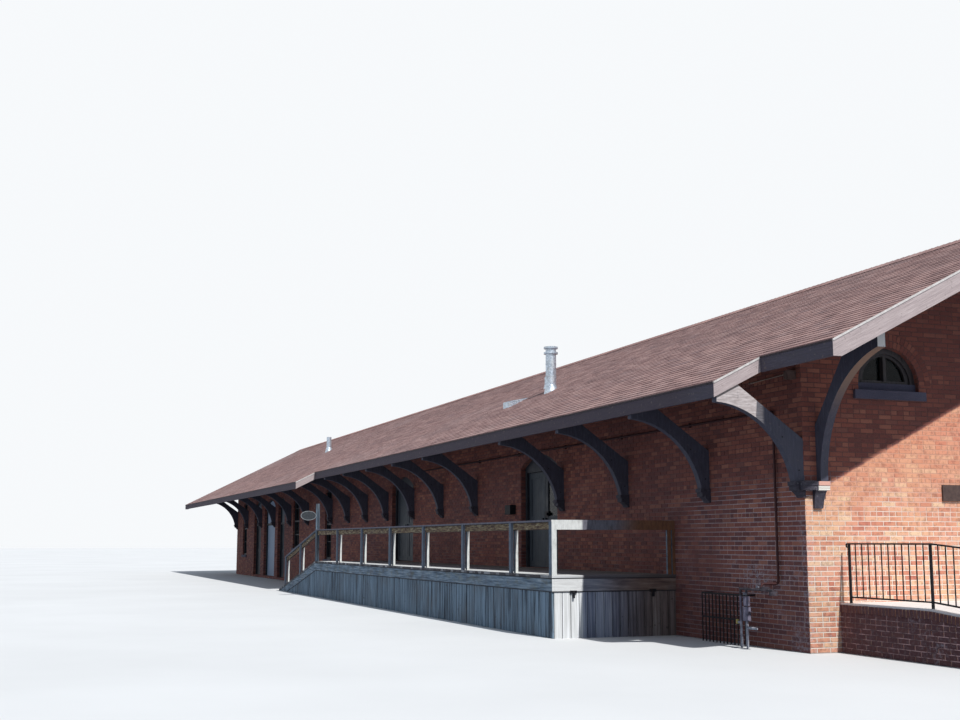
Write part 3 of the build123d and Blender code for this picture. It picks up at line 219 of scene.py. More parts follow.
class Finish(Graph):
    """A material with procedural colour, roughness and relief. A tone is a signal or a swatch."""

    def __init__(self, name, specular=0.5):
        self.material = bpy.data.materials.new(name)
        self.material.use_nodes = True
        super().__init__(self.material.node_tree)
        self.tree.nodes.clear()
        self.shader = self.node("ShaderNodeBsdfPrincipled", None, {"Specular IOR Level": specular})
        self.node("ShaderNodeOutputMaterial", None, {"Surface": self.shader})
        surface = self.node("ShaderNodeTexCoord")
        self.place = surface.sibling("Object")
        self.x = self.node("ShaderNodeSeparateXYZ", None, {0: self.place})
        self.y = self.x.sibling("Y")
        self.z = self.x.sibling("Z")
        self.facing_x = self.node("ShaderNodeSeparateXYZ", None, {0: surface.sibling("Normal")})
        self.facing_z = self.facing_x.sibling("Z")

    def joined(self, x, y, z):
        return self.node("ShaderNodeCombineXYZ", None, {0: x, 1: y, 2: z})

    def tint(self):
        """The number from 0 to 1 that every laid block keeps."""
        return self.node("ShaderNodeAttribute", {"attribute_name": "tint"}).sibling("Fac")

    def noise(self, scale, detail=4.0, roughness=0.55, stretch=None, place=None):
        """Noise at the surface's own place, with a scale along each axis if stretch is given."""
        place = place or self.place
        if stretch:
            place = self.node("ShaderNodeMapping", None, {"Vector": place, "Scale": stretch})
        values = {"Vector": place, "Scale": scale, "Detail": detail, "Roughness": roughness}
        return self.node("ShaderNodeTexNoise", None, values)

    def speckle(self, place):
        """A random number from 0 to 1 for each whole place."""
        return self.node("ShaderNodeTexWhiteNoise", {"noise_dimensions": "3D"}, {"Vector": place})

    def band(self, value, low, high, start=0.0, end=1.0):
        """A smooth step from start to end as the value goes from low to high."""
        values = {"Value": value, "From Min": low, "From Max": high, "To Min": start, "To Max": end}
        return self.node("ShaderNodeMapRange", {"interpolation_type": "SMOOTHSTEP"}, values)

    def patches(self, scale, low, high, amount=1.0, **kind):
        """Ragged patches of noise, from 0 between them to amount on them."""
        return self.band(self.noise(scale, **kind), low, high, 0.0, amount)

    def tones(self, value, *stops):
        """Colours along a value. Every stop is a place and the red, green and blue of a swatch."""
        stops = [(place, colour(*swatch)) for place, *swatch in stops]
        return self.node("ShaderNodeValToRGB", {"stops": stops}, {"Fac": value})

    def blend(self, factor, first, second):
        first, second = [tone if isinstance(tone, Signal) else colour(*tone) for tone in (first, second)]
        return self.node("ShaderNodeMix", {"data_type": "RGBA"}, {0: factor, 6: first, 7: second})

    def relief(self, height, depth, strength=1.0):
        """A bump of that depth in metres."""
        return self.node("ShaderNodeBump", None, {"Height": height, "Distance": depth, "Strength": strength})

    def done(self, tone, roughness, normal=None, **others):
        """Puts what was worked out on the shader, and gives the material."""
        sockets = self.shader.socket.node.inputs
        for name, value in {"Base Color": tone, "Roughness": roughness, "Normal": normal, **others}.items():
            if value is not None:
                self.put(sockets[name], value)
        return self.material


def brick_tones(finish, pick):
    """Fired clay from maroon to orange, picked for each brick."""
    return finish.tones(pick, (0.0, 84, 46, 46), (0.22, 112, 60, 54), (0.45, 134, 74, 62),
                        (0.72, 154, 90, 72), (0.93, 178, 116, 92), (1.0, 98, 62, 62))


def sunlit_brick_tones(finish, pick):
    """Painted sunlight on the same clay: rose, orange, cream and nearly white tones."""
    return finish.tones((pick * 7.31).fraction(), (0.0, 204, 126, 104), (0.25, 222, 150, 120),
                        (0.6, 230, 164, 138), (0.85, 236, 184, 148), (1.0, 242, 206, 170))


def salt_bloom(finish):
    """How much white salt lies on the bricks: low down, by the corner and the gas meter, and on the ramp."""
    x, y, z = finish.x, finish.y, finish.z
    near = finish.band(z, 1.2, 0.1) * finish.band(x, 6.5, 11.2, 0.15, 1.0)
    ragged = finish.patches(2.6, 0.5, 0.66, 0.7, detail=8.0, roughness=0.7)
    at_corner = finish.band(x, HALF_LENGTH - 0.105, HALF_LENGTH - 0.045)
    at_corner = at_corner * finish.band(abs(y), HALF_DEPTH - 0.075, HALF_DEPTH - 0.035)
    corner = at_corner * finish.band(z, 1.0, 0.8, 0.0, 0.7)
    ramp = (x > PAST_GABLE) * 0.15
    along, up = x - GAS_METER[0], z - GAS_METER[1]
    by_meter = finish.band(along * along * 1.4 + up * up * 4, 0.09, 0.0) * (y < -1.8)
    fine = finish.patches(46.0, 0.46, 0.66, detail=5.0, roughness=0.7)
    return (near * ragged).larger(corner).larger(ramp).larger(by_meter) * fine


def painted_sunlight(finish):
    """Painted sunlight on the near gable: how much of it a point gets below the line of the roof's shadow."""
    roof_shade = 0.99 + ROOF_RISE * (HALF_DEPTH - abs(finish.y + 0.095))
    drop = roof_shade - finish.z + (finish.noise(14.0, detail=5.0) - 0.5) * 0.02
    on_near_gable = finish.band(finish.facing_x, 0.4, 0.8) * finish.band(finish.x, 9.0, 11.0)
    return on_near_gable * finish.band(drop, 0.0, 0.02, 0.0, 0.94)


def weathered_and_sunlit_brick(finish, pick):
    """Colour of brick faces with soot, damp and salt, with painted sunlight on the near gable below the
    roof's shadow, and their grain.
    """
    x, z = finish.x, finish.z
    grain = finish.noise(90.0, detail=5.0)
    grainy = finish.tones(grain, (0.3, 84, 46, 44), (0.7, 178, 116, 98))
    body = finish.blend(0.3, brick_tones(finish, pick), grainy)
    body = finish.blend(finish.patches(0.7, 0.4, 0.66, 0.45, detail=6.0), body, (82, 50, 54))
    body = finish.blend((x > PAST_GABLE) * 0.6, body, (76, 38, 39))
    body = finish.blend(finish.band(z, 0.75, 0.3) * finish.band(x, 6.5, 9.5, 0.0, 0.45), body, (70, 42, 48))
    body = finish.blend(finish.band(z, 1.0, 2.1, 0.0, 0.3), body, (140, 74, 54))
    # Painted sunlight: pale rose, orange and cream tones, more orange higher up, laid in patches below the
    # roof's shadow on the near gable
    creamy = finish.patches(1.6, 0.4, 0.6, 0.5, detail=6.0)
    pale = finish.blend(creamy, sunlit_brick_tones(finish, pick), (240, 196, 150))
    pale = finish.blend(finish.band(z, 0.9, 1.5, 0.0, 0.55), pale, (220, 136, 106))
    patchiness = finish.band(finish.noise(30.0, detail=7.0, roughness=0.72), 0.38, 0.54, 0.55, 1.0)
    body = finish.blend(painted_sunlight(finish) * patchiness, body, pale)
    return finish.blend(salt_bloom(finish) * 0.75, body, (186, 178, 184)), grain


def mortar_tone(finish):
    """Colour of lime mortar, pale near the ground and the near corner and browner higher up, with painted
    sunlight on the near gable below the roof's shadow, and its grit.
    """
    x, z = finish.x, finish.z
    grit = finish.noise(120.0, detail=4.0)
    pale = finish.tones(grit, (0.3, 170, 152, 156), (0.7, 236, 220, 222))
    brown = finish.tones(grit, (0.3, 84, 56, 54), (0.7, 122, 84, 76))
    dull = finish.patches(3.0, 0.38, 0.62, 0.6, detail=6.0) * finish.band(z, 1.7, 0.4)
    body = finish.blend(dull, brown, (150, 122, 120))
    near = finish.band(x + (finish.noise(2.2, detail=5.0) - 0.5) * 2.4, 9.3, 10.6) * finish.band(z, 1.25, 1.0)
    body = finish.blend(near * finish.band(z, 0.1, 0.55, 0.5, 1.0), body, pale)
    on_ramp = finish.band(x, HALF_LENGTH + 0.015, HALF_LENGTH + 0.035)
    body = finish.blend(on_ramp * 0.8, body, (96, 62, 60))
    ragged = finish.patches(17.0, 0.42, 0.6, detail=6.0, roughness=0.7)
    ragged = ragged * finish.band(finish.noise(4.0, detail=7.0, roughness=0.7), 0.4, 0.56, 0.5, 1.0)
    body = finish.blend(on_ramp * ragged, body, (222, 178, 172))
    # Painted sunlight on the near gable's mortar: nearly white low down, pinker higher up
    high = finish.band(z + (finish.noise(3.0, detail=4.0) - 0.5) * 0.6, 0.75, 1.15)
    sunlit_mortar = finish.blend(high, (248, 236, 218), (228, 170, 142))
    return finish.blend(painted_sunlight(finish) * 0.9, body, sunlit_mortar), grit


def laid_brick():
    finish = Finish("fired_brick")
    tone, grain = weathered_and_sunlit_brick(finish, finish.tint())
    return finish.done(tone, finish.band(grain, 0.2, 0.8, 0.78, 0.96), finish.relief(grain, 0.0012))


def brick_shell():
    """Brickwork drawn in courses, for the wall solids behind the laid bricks and their inner sides."""
    finish = Finish("brick_shell")
    on_gable = abs(finish.facing_x) > 0.6
    along = on_gable * (finish.y + HALF_DEPTH) + (1 - on_gable) * (HALF_LENGTH - finish.x)
    row = (finish.z / COURSE).floor()
    header = (row % HEADER_EVERY) > HEADER_EVERY - 1.5
    unit = BRICK - header * (BRICK / 2)
    shift = (row + on_gable) % 2 * BRICK / 2
    place = (along - shift) / unit
    side = place.fraction().smaller(1 - place.fraction()) * unit
    bed = (finish.z / COURSE).fraction()
    bed = bed.smaller(1 - bed) * COURSE
    brick = finish.band(side.smaller(bed), JOINT * 0.35, JOINT * 0.65)
    pick = finish.speckle(finish.joined(place.floor(), row, on_gable))
    tone, grain = weathered_and_sunlit_brick(finish, pick)
    body = finish.blend(brick, mortar_tone(finish)[0], tone)
    return finish.done(body, 0.92, finish.relief(brick + grain * 0.4, 0.0025))


def mortar():
    finish = Finish("lime_mortar")
    tone, grit = mortar_tone(finish)
    return finish.done(tone, 0.95, finish.relief(grit, 0.0015))


def shingle():
    """Granule shingles, varied from tab to tab."""
    finish = Finish("granule_shingle")
    body = finish.tones(finish.tint(), (0.0, 120, 84, 78), (0.3, 150, 110, 103), (0.6, 170, 131, 122),
                        (0.85, 190, 152, 142), (1.0, 128, 100, 100))
    granules = finish.noise(420.0, detail=2.0)
    body = finish.blend(0.45, body, finish.tones(granules, (0.35, 94, 71, 70), (0.65, 184, 158, 154)))
    streak = finish.patches(1.0, 0.4, 0.68, 0.35, detail=7.0, roughness=0.62, stretch=(0.9, 5.0, 5.0))
    body = finish.blend(streak, body, (112, 90, 90))
    body = finish.blend(finish.patches(0.45, 0.5, 0.7, 0.3, detail=6.0), body, (176, 156, 152))
    return finish.done(body, 0.93, finish.relief(granules, 0.0012))


def roof_deck():
    """Roof slab: dark felt on top under the shingles, and painted boards along the eave below."""
    finish = Finish("roof_boards_and_felt")
    below = finish.facing_z < -0.3
    board = finish.y / 0.07
    gap = finish.band(board.fraction().smaller(1 - board.fraction()), 0.015, 0.05)
    grain = finish.noise(6.0, detail=5.0, stretch=(1.0, 22.0, 22.0))
    pick = finish.speckle(finish.joined(board.floor(), 1.0, 2.0))
    paint = finish.tones(grain * 0.6 + pick * 0.4, (0.2, 66, 40, 38), (0.8, 104, 66, 58))
    paint = finish.blend(gap, (22, 18, 18), paint)
    felt = finish.tones(finish.noise(60.0), (0.3, 66, 50, 48), (0.7, 92, 72, 68))
    return finish.done(finish.blend(below, felt, paint), 0.9, finish.relief(gap * below + grain * 0.2, 0.003))


def lit_and_shaded_trim():
    """Old painted boards with painted light: shaded dark tones on the sides that face the track, sunlit pale
    tones on the sides that face the sun.
    """
    finish = Finish("weathered_lit_and_shaded_trim")
    along_slope = finish.joined(finish.x * 1.6, finish.y * 1.6, (finish.z + abs(finish.y) * ROOF_RISE) * 26)
    grain = finish.noise(5.0, detail=7.0, roughness=0.62, place=along_slope)
    dark = finish.tones(grain, (0.3, 60, 54, 64), (0.55, 80, 74, 86), (0.75, 104, 98, 106))
    dark = finish.blend(finish.band(finish.x, 11.2, 10.8, 0.0, 0.5), dark, (62, 46, 56))
    pale = finish.tones(grain, (0.3, 162, 146, 144), (0.55, 184, 168, 165), (0.75, 204, 190, 186))
    # Painted light: the pale tones are sunlight on the sides facing the sun, the dark ones shade on the rest
    body = finish.blend(finish.band(finish.facing_x, 0.4, 0.8), dark, pale)
    body = finish.blend(finish.patches(34.0, 0.62, 0.7, 0.5, detail=6.0), body, (124, 112, 104))
    return finish.done(body, finish.band(grain, 0.3, 0.7, 0.72, 0.9), finish.relief(grain, 0.003))


def bracket_paint():
    """Dark slate paint on sawn timber, with painted sunlight: pale where the noses of the near brackets stand
    in the sun, and white on the sunlit ends of the gable brackets' noses.
    """
    finish = Finish("slate_bracket_paint")
    x, y, z = finish.x, finish.y, finish.z
    grain = finish.noise(8.0, detail=7.0, roughness=0.6, stretch=(9.0, 9.0, 1.4))
    body = finish.tones(grain, (0.3, 54, 54, 66), (0.55, 72, 72, 86), (0.78, 94, 94, 106))
    # Painted sunlight, pale, on the sunward sides of the first bracket's nose outside the roof's shadow
    sunny = finish.band(finish.facing_x, 0.5, 0.9)
    first_bracket = finish.band(x, HALF_LENGTH - 0.125, HALF_LENGTH - 0.025)
    near_nose = sunny * first_bracket * finish.band(x, HALF_LENGTH + 0.025, HALF_LENGTH + 0.005)
    lying = finish.noise(7.0, detail=7.0, roughness=0.65, stretch=(3.0, 2.0, 16.0))
    pale = finish.tones(lying, (0.3, 146, 134, 130), (0.5, 184, 172, 168), (0.7, 212, 202, 198))
    body = finish.blend(near_nose * finish.band(abs(y), HALF_DEPTH + 0.295, HALF_DEPTH + 0.325), body, pale)
    below_trim = z + (abs(y) - HALF_DEPTH) * ROOF_RISE
    trim_shadow = near_nose * finish.band(below_trim, ROOF_AT_WALL - 0.127, ROOF_AT_WALL - 0.121)
    body = finish.blend(trim_shadow * 0.9, body, (34, 30, 34))
    under = finish.band(finish.facing_x, 0.05, 0.3) * finish.band(finish.facing_z, 0.0, -0.2)
    under = under * finish.band(x, HALF_LENGTH + 0.025, HALF_LENGTH + 0.045) * finish.band(z, 1.55, 1.9)
    body = finish.blend(under * 0.8, body, (140, 112, 90))
    # Painted sunlight, white, on the sunward ends of the gable brackets' noses
    sunlit_gable_nose = sunny * finish.band(x, NEAR_END - 0.109, NEAR_END - 0.106)
    body = finish.blend(sunlit_gable_nose, body, (234, 230, 222))
    body = finish.blend(finish.patches(46.0, 0.63, 0.7, 0.5, detail=5.0), body, (106, 100, 104))
    return finish.done(body, finish.band(grain, 0.3, 0.7, 0.6, 0.82), finish.relief(grain, 0.0025))


def corbel_paint():
    """Slate paint on stone, with painted sunlight on the ends of the near gable's corbels that the sun
    reaches.
    """
    finish = Finish("slate_corbel_paint")
    grit = finish.noise(70.0, detail=5.0)
    body = finish.tones(grit, (0.3, 42, 40, 48), (0.7, 70, 66, 78))
    body = finish.blend(finish.patches(34.0, 0.6, 0.68, 0.6, detail=6.0), body, (112, 108, 114))
    # Painted sunlight at the top of the corbel ends: a pinkish cap and a white slab with a line between
    drop = GABLE_CORBEL_TOP - finish.z
    sunlit_stone = finish.blend(finish.band(drop, 0.0347, 0.0267), (236, 230, 218), (222, 168, 150))
    sunlit_stone = finish.blend(finish.band(abs(drop - 0.0462), 0.003, 0.0015), sunlit_stone, (170, 160, 150))
    on_gable = finish.band(finish.x, HALF_LENGTH + 0.01, HALF_LENGTH + 0.02)
    on_gable = on_gable * finish.band(finish.y, -HALF_DEPTH + 0.075, -HALF_DEPTH + 0.085)
    sunny = on_gable * finish.band(finish.facing_x, 0.5, 0.9) * finish.band(drop, 0.0667, 0.0617)
    return finish.done(finish.blend(sunny, body, sunlit_stone), 0.82, finish.relief(grit, 0.002))


def grey_timber(name, along, light, dark, stain, patchiness=0.5, roof_shade=None, tinted=0.25, grainy=1.0):
    """Bare timber gone grey: grain along one axis, stains, knots, a tint for each board and, if the stops of
    two darker tones are given, those as painted shade inside the line of the roof's shadow, the given tones
    then standing as painted sunlight outside it."""
    finish = Finish(name)
    stretch = tuple(0.4 if axis == along else 14.0 for axis in "XYZ")
    grain = finish.noise(4.0, detail=8.0, roughness=0.65, stretch=stretch)
    value = ((grain - 0.5) * grainy + 0.5) * (1 - tinted) + finish.tint() * tinted
    body = finish.tones(value, (0.3, *dark), (0.5, *light), (0.72, *light, 1.35))
    body = finish.blend(finish.patches(2.6, 0.45, 0.72, patchiness, detail=6.0), body, stain)
    # Painted shade inside the roof's shadow: one set of tones further out and the other by the wall
    if roof_shade:
        by_wall = finish.band(finish.y + finish.noise(1.5) * 0.3, -2.4, -1.9)
        outer_tone = finish.tones(value, *roof_shade[:3])
        shaded = finish.blend(by_wall, outer_tone, finish.tones(value, *roof_shade[3:]))
        in_roof_shade = finish.band(finish.y + (grain - 0.5) * 0.02, SUNLIT_FROM, SHADED_TO, 0.0, 0.95)
        body = finish.blend(in_roof_shade, body, shaded)
    # Painted shade on the front ends of the deck boards
    if along == "Y":
        shaded_board_ends = finish.band(finish.y, -DECK_EDGE - 0.001, -DECK_EDGE - 0.005, 0.0, 0.92)
        body = finish.blend(shaded_board_ends, body, (44, 36, 44))
    body = finish.blend(finish.patches(17.0, 0.73, 0.77, 0.6, detail=1.0), body, (70, 58, 50))
    return finish.done(body, finish.band(grain, 0.3, 0.7, 0.8, 0.95), finish.relief(grain, 0.003))


def above_deck(finish):
    """Height over the deck, or over the line of its ramp."""
    return finish.z - DECK_TOP + (DECK_FAR - finish.x).larger(0.0) * DECK_FALL


def rim_timber():
    """Boards round the edge of the deck: slate grey along the front, and at the near end painted shade inside
    the roof's shadow, slate further out and brown by the wall, and painted sunlight, white, outside it, with
    painted shadow lines under the deck's edge and at the rim's foot."""
    finish = Finish("grey_rim_boards")
    y = finish.y
    grain = finish.noise(4.0, detail=8.0, roughness=0.65, stretch=(0.9, 14.0, 14.0))
    across = finish.noise(4.0, detail=8.0, roughness=0.65, stretch=(14.0, 1.1, 14.0))
    front = finish.tones(grain, (0.38, 80, 96, 110), (0.52, 132, 150, 164), (0.66, 178, 190, 196))
    mossy = finish.patches(9.0, 0.5, 0.64, 0.45, detail=7.0, roughness=0.7, stretch=(1.0, 1.0, 2.2))
    front = finish.blend(mossy, front, (124, 122, 96))
    # Painted light at the near end: shaded tones inside the roof's shadow, sunlit white outside it
    brown = finish.tones(across, (0.3, 84, 62, 56), (0.5, 126, 102, 90), (0.7, 158, 138, 124))
    slate = finish.tones(across, (0.3, 98, 98, 108), (0.5, 138, 140, 150), (0.7, 168, 168, 174))
    brown = finish.blend(finish.band(y + finish.noise(1.5) * 0.3, -2.45, -2.0), slate, brown)
    white = finish.tones(across, (0.3, 206, 204, 200), (0.6, 230, 230, 226))
    end = finish.blend(finish.band(y, SHADED_TO, SUNLIT_FROM), brown, white)
    body = finish.blend(finish.facing_x > 0.5, front, end)
    body = finish.blend(finish.patches(5.0, 0.5, 0.7, 0.5, detail=6.0), body, (104, 96, 94))
    # Painted shadow lines under the deck's edge and along the foot of the rim
    level = above_deck(finish)
    shadow_lines = finish.band(level, -0.031, -0.025).larger(finish.band(level, -0.118, -0.124))
    body = finish.blend(shadow_lines * 0.95, body, (34, 34, 38))
    return finish.done(body, 0.88, finish.relief(grain, 0.003))


def rail_timber():
    """Rail along deck and ramp: slate-grey posts and boards, with painted sunlight, white, where they face
    the sun outside the roof's shadow and on the tops, and painted shade inside it and on the sunward sides of
    the front post boards.
    """
    finish = Finish("weathered_lit_and_shaded_rail")
    y = finish.y
    level = above_deck(finish)
    grain = finish.noise(5.0, detail=7.0, roughness=0.62, stretch=(4.0, 12.0, 4.0))
    lying = finish.noise(4.0, detail=8.0, roughness=0.7, stretch=(2.2, 4.0, 16.0))
    posts = finish.tones(grain, (0.3, 88, 98, 110), (0.55, 120, 132, 144), (0.75, 152, 162, 170))
    board = finish.tones(lying, (0.4, 66, 46, 42), (0.5, 124, 102, 76), (0.58, 168, 150, 112),
                         (0.66, 200, 192, 170))
    shade = finish.band(level, 0.362, 0.355).larger(finish.band(level, 0.406, 0.412))
    board = finish.blend(shade * 0.8, board, (48, 36, 38))
    cap = finish.tones(grain, (0.3, 98, 96, 106), (0.6, 130, 126, 134), (0.8, 158, 156, 160))
    body = finish.blend((level > 0.353) * (y > RAIL_BOARDS), posts, board)
    body = finish.blend(level > 0.4162, body, cap)
    # Painted light on the sides that face the sun: sunlit white outside the roof's shadow, shaded grey and
    # brown tones inside it
    sunlit_rail = finish.tones(grain, (0.3, 198, 198, 192), (0.6, 226, 226, 220))
    shaded = finish.tones(grain, (0.3, 84, 82, 90), (0.6, 118, 116, 124))
    warm = finish.tones(grain, (0.3, 96, 62, 42), (0.6, 134, 92, 64))
    shaded = finish.blend(finish.band(y + finish.noise(2.0) * 0.2, -2.35, -2.05), shaded, warm)
    end = finish.blend(finish.band(y, SHADED_TO, SUNLIT_FROM), shaded, sunlit_rail)
    # Painted shade on the sunward sides of the front post boards, away from the near end
    end = finish.blend((y < RAIL_BOARDS) * (finish.x < DECK_NEAR - 0.1), end, (112, 120, 132))
    body = finish.blend(finish.facing_x > 0.5, body, end)
    # Painted sunlight on the tops
    body = finish.blend((finish.facing_z > 0.5) * 0.6, body, (200, 198, 192))
    body = finish.blend(finish.patches(9.0, 0.55, 0.72, 0.35, detail=6.0), body, (112, 100, 92))
    return finish.done(body, finish.band(grain, 0.3, 0.7, 0.8, 0.95), finish.relief(grain, 0.003))


def painted(name, light, dark, chips, boards=0.0):
    """Painted joinery with brush lines, dust and chips, and the joints of its boards if it has them."""
    finish = Finish(name, 0.2)
    brush = finish.noise(7.0, detail=6.0, stretch=(10.0, 10.0, 1.2))
    body = finish.tones(brush, (0.3, *dark), (0.7, *light))
    surface = brush
    if boards:
        across = (finish.x / boards).fraction()
        joint = finish.band(across.smaller(1 - across) * boards, 0.0008, 0.003)
        body = finish.blend(joint, (30, 30, 32), body)
        surface = brush * 0.3 + joint * 3
    body = finish.blend(finish.patches(3.0, 0.45, 0.75, 0.25, detail=5.0), body, chips)
    body = finish.blend(finish.patches(60.0, 0.66, 0.72, 0.6, detail=5.0), body, chips)
    return finish.done(body, finish.band(brush, 0.3, 0.7, 0.4, 0.64), finish.relief(surface, 0.0008))


def transom_paint():
    """Boarding over the doors, grey-green, and pale blue over the pale door."""
    finish = Finish("transom_paint")
    brush = finish.noise(7.0, detail=6.0, stretch=(10.0, 10.0, 1.2))
    grey = finish.tones(brush, (0.3, 62, 70, 80), (0.7, 84, 92, 100))
    pale = finish.tones(brush, (0.3, 146, 166, 190), (0.7, 176, 192, 208))
    over_pale_door = (finish.x > PALE_DOOR[0]) * (finish.x < PALE_DOOR[1])
    body = finish.blend(over_pale_door, grey, pale)
    body = finish.blend(finish.patches(3.0, 0.45, 0.75, 0.25, detail=5.0), body, (124, 128, 132))
    return finish.done(body, 0.6, finish.relief(brush, 0.0008))


def stone(name, light, dark, stain):
    """Cast stone and concrete with grit, blotches and damp marks."""
    finish = Finish(name)
    grit = finish.noise(120.0, detail=4.0)
    cloud = finish.noise(2.2, detail=7.0, roughness=0.6)
    body = finish.tones(grit * 0.4 + cloud * 0.6, (0.35, *dark), (0.62, *light))
    body = finish.blend(finish.patches(1.1, 0.5, 0.75, 0.5, detail=5.0), body, stain)
    return finish.done(body, 0.9, finish.relief(grit, 0.0015))


def zinc():
    """Galvanised sheet: spangle, a dull white bloom and a few rust spots."""
    finish = Finish("zinc_sheet")
    cells = finish.node("ShaderNodeTexVoronoi", None, {"Vector": finish.place, "Scale": 95.0})
    spangle = finish.node("ShaderNodeSeparateColor", None, {0: cells.sibling("Color")})
    body = finish.tones(spangle, (0.0, 160, 172, 184), (1.0, 212, 224, 236))
    bloom = finish.patches(14.0, 0.5, 0.72, detail=6.0)
    body = finish.blend(bloom * 0.5, body, (186, 186, 182))
    rust = finish.patches(24.0, 0.68, 0.75, 0.6, detail=5.0)
    body = finish.blend(rust, body, (116, 76, 52))
    rough = spangle * 0.12 + bloom * 0.25 + 0.3
    return finish.done(body, rough, finish.relief(spangle, 0.0004), Metallic=0.85 - rust)


def iron(name, dark, light, rust_amount):
    """Painted iron with rust where the paint has gone."""
    finish = Finish(name, 0.2)
    mottling = finish.noise(36.0, detail=6.0)
    rust = finish.patches(13.0, 0.6, 0.72, rust_amount, detail=7.0, roughness=0.65)
    body = finish.blend(rust, finish.tones(mottling, (0.3, *dark), (0.7, *light)), (92, 54, 38))
    return finish.done(body, rust * 0.35 + mottling * 0.15 + 0.5, finish.relief(mottling + rust, 0.0006))


def drip_metal():
    """Drip edges: painted sunlight, pale, up the rakes that face the sun, and painted shade, dark, along the
    eaves.
    """
    finish = Finish("drip_edge_metal", 0.2)
    mottling = finish.noise(36.0, detail=6.0)
    pale = finish.tones(mottling, (0.3, 196, 190, 184), (0.7, 226, 220, 214))
    dark = finish.tones(mottling, (0.3, 46, 38, 42), (0.7, 72, 62, 66))
    return finish.done(finish.blend(finish.facing_x > 0.5, dark, pale), 0.6, finish.relief(mottling, 0.0005))


def lamp_paint():
    """Lamps under the eaves: black, and dull brown the one at the near corner."""
    finish = Finish("lamp_paint", 0.15)
    mottling = finish.noise(36.0, detail=6.0)
    black = finish.tones(mottling, (0.3, 20, 20, 24), (0.7, 36, 36, 40))
    brown = finish.tones(mottling, (0.3, 84, 66, 60), (0.7, 116, 96, 88))
    return finish.done(finish.blend(finish.x > 11.0, black, brown), 0.6, finish.relief(mottling, 0.0005))


def gas_paint():
    """Paint of the gas set: white legs, a slate body and dark, rusty fittings at the top."""
    finish = Finish("gas_set_paint", 0.25)
    mottling = finish.noise(36.0, detail=6.0)
    top = finish.tones(mottling, (0.3, 44, 38, 44), (0.7, 92, 84, 90))
    drum = finish.tones(mottling, (0.3, 84, 80, 94), (0.7, 140, 134, 150))
    legs = finish.tones(mottling, (0.3, 120, 122, 130), (0.7, 196, 196, 202))
    body = finish.blend(finish.band(finish.z, 0.16, 0.2), legs, drum)
    body = finish.blend(finish.band(finish.z, 0.352, 0.366), body, top)
    rust = finish.patches(26.0, 0.58, 0.66, 0.6, detail=7.0, roughness=0.65)
    body = finish.blend(rust, body, (92, 58, 44))
    return finish.done(body, mottling * 0.15 + rust * 0.3 + 0.45, finish.relief(mottling + rust, 0.0006))


def old_glass():
    """Thin old glass, slightly wavy and a little dusty, drawn dark and mostly opaque: painted shade of the
    dim room behind it.
    """
    finish = Finish("old_window_glass", 0.16)
    wave = finish.noise(5.0, detail=2.0)
    dust = finish.patches(30.0, 0.4, 0.8, detail=6.0)
    body = finish.blend(dust * 0.12, (14, 18, 20), (96, 100, 98))
    rough = dust * 0.16 + 0.04
    return finish.done(body, rough, finish.relief(wave, 0.004, 0.5), IOR=1.5, Alpha=dust * 0.1 + 0.72)


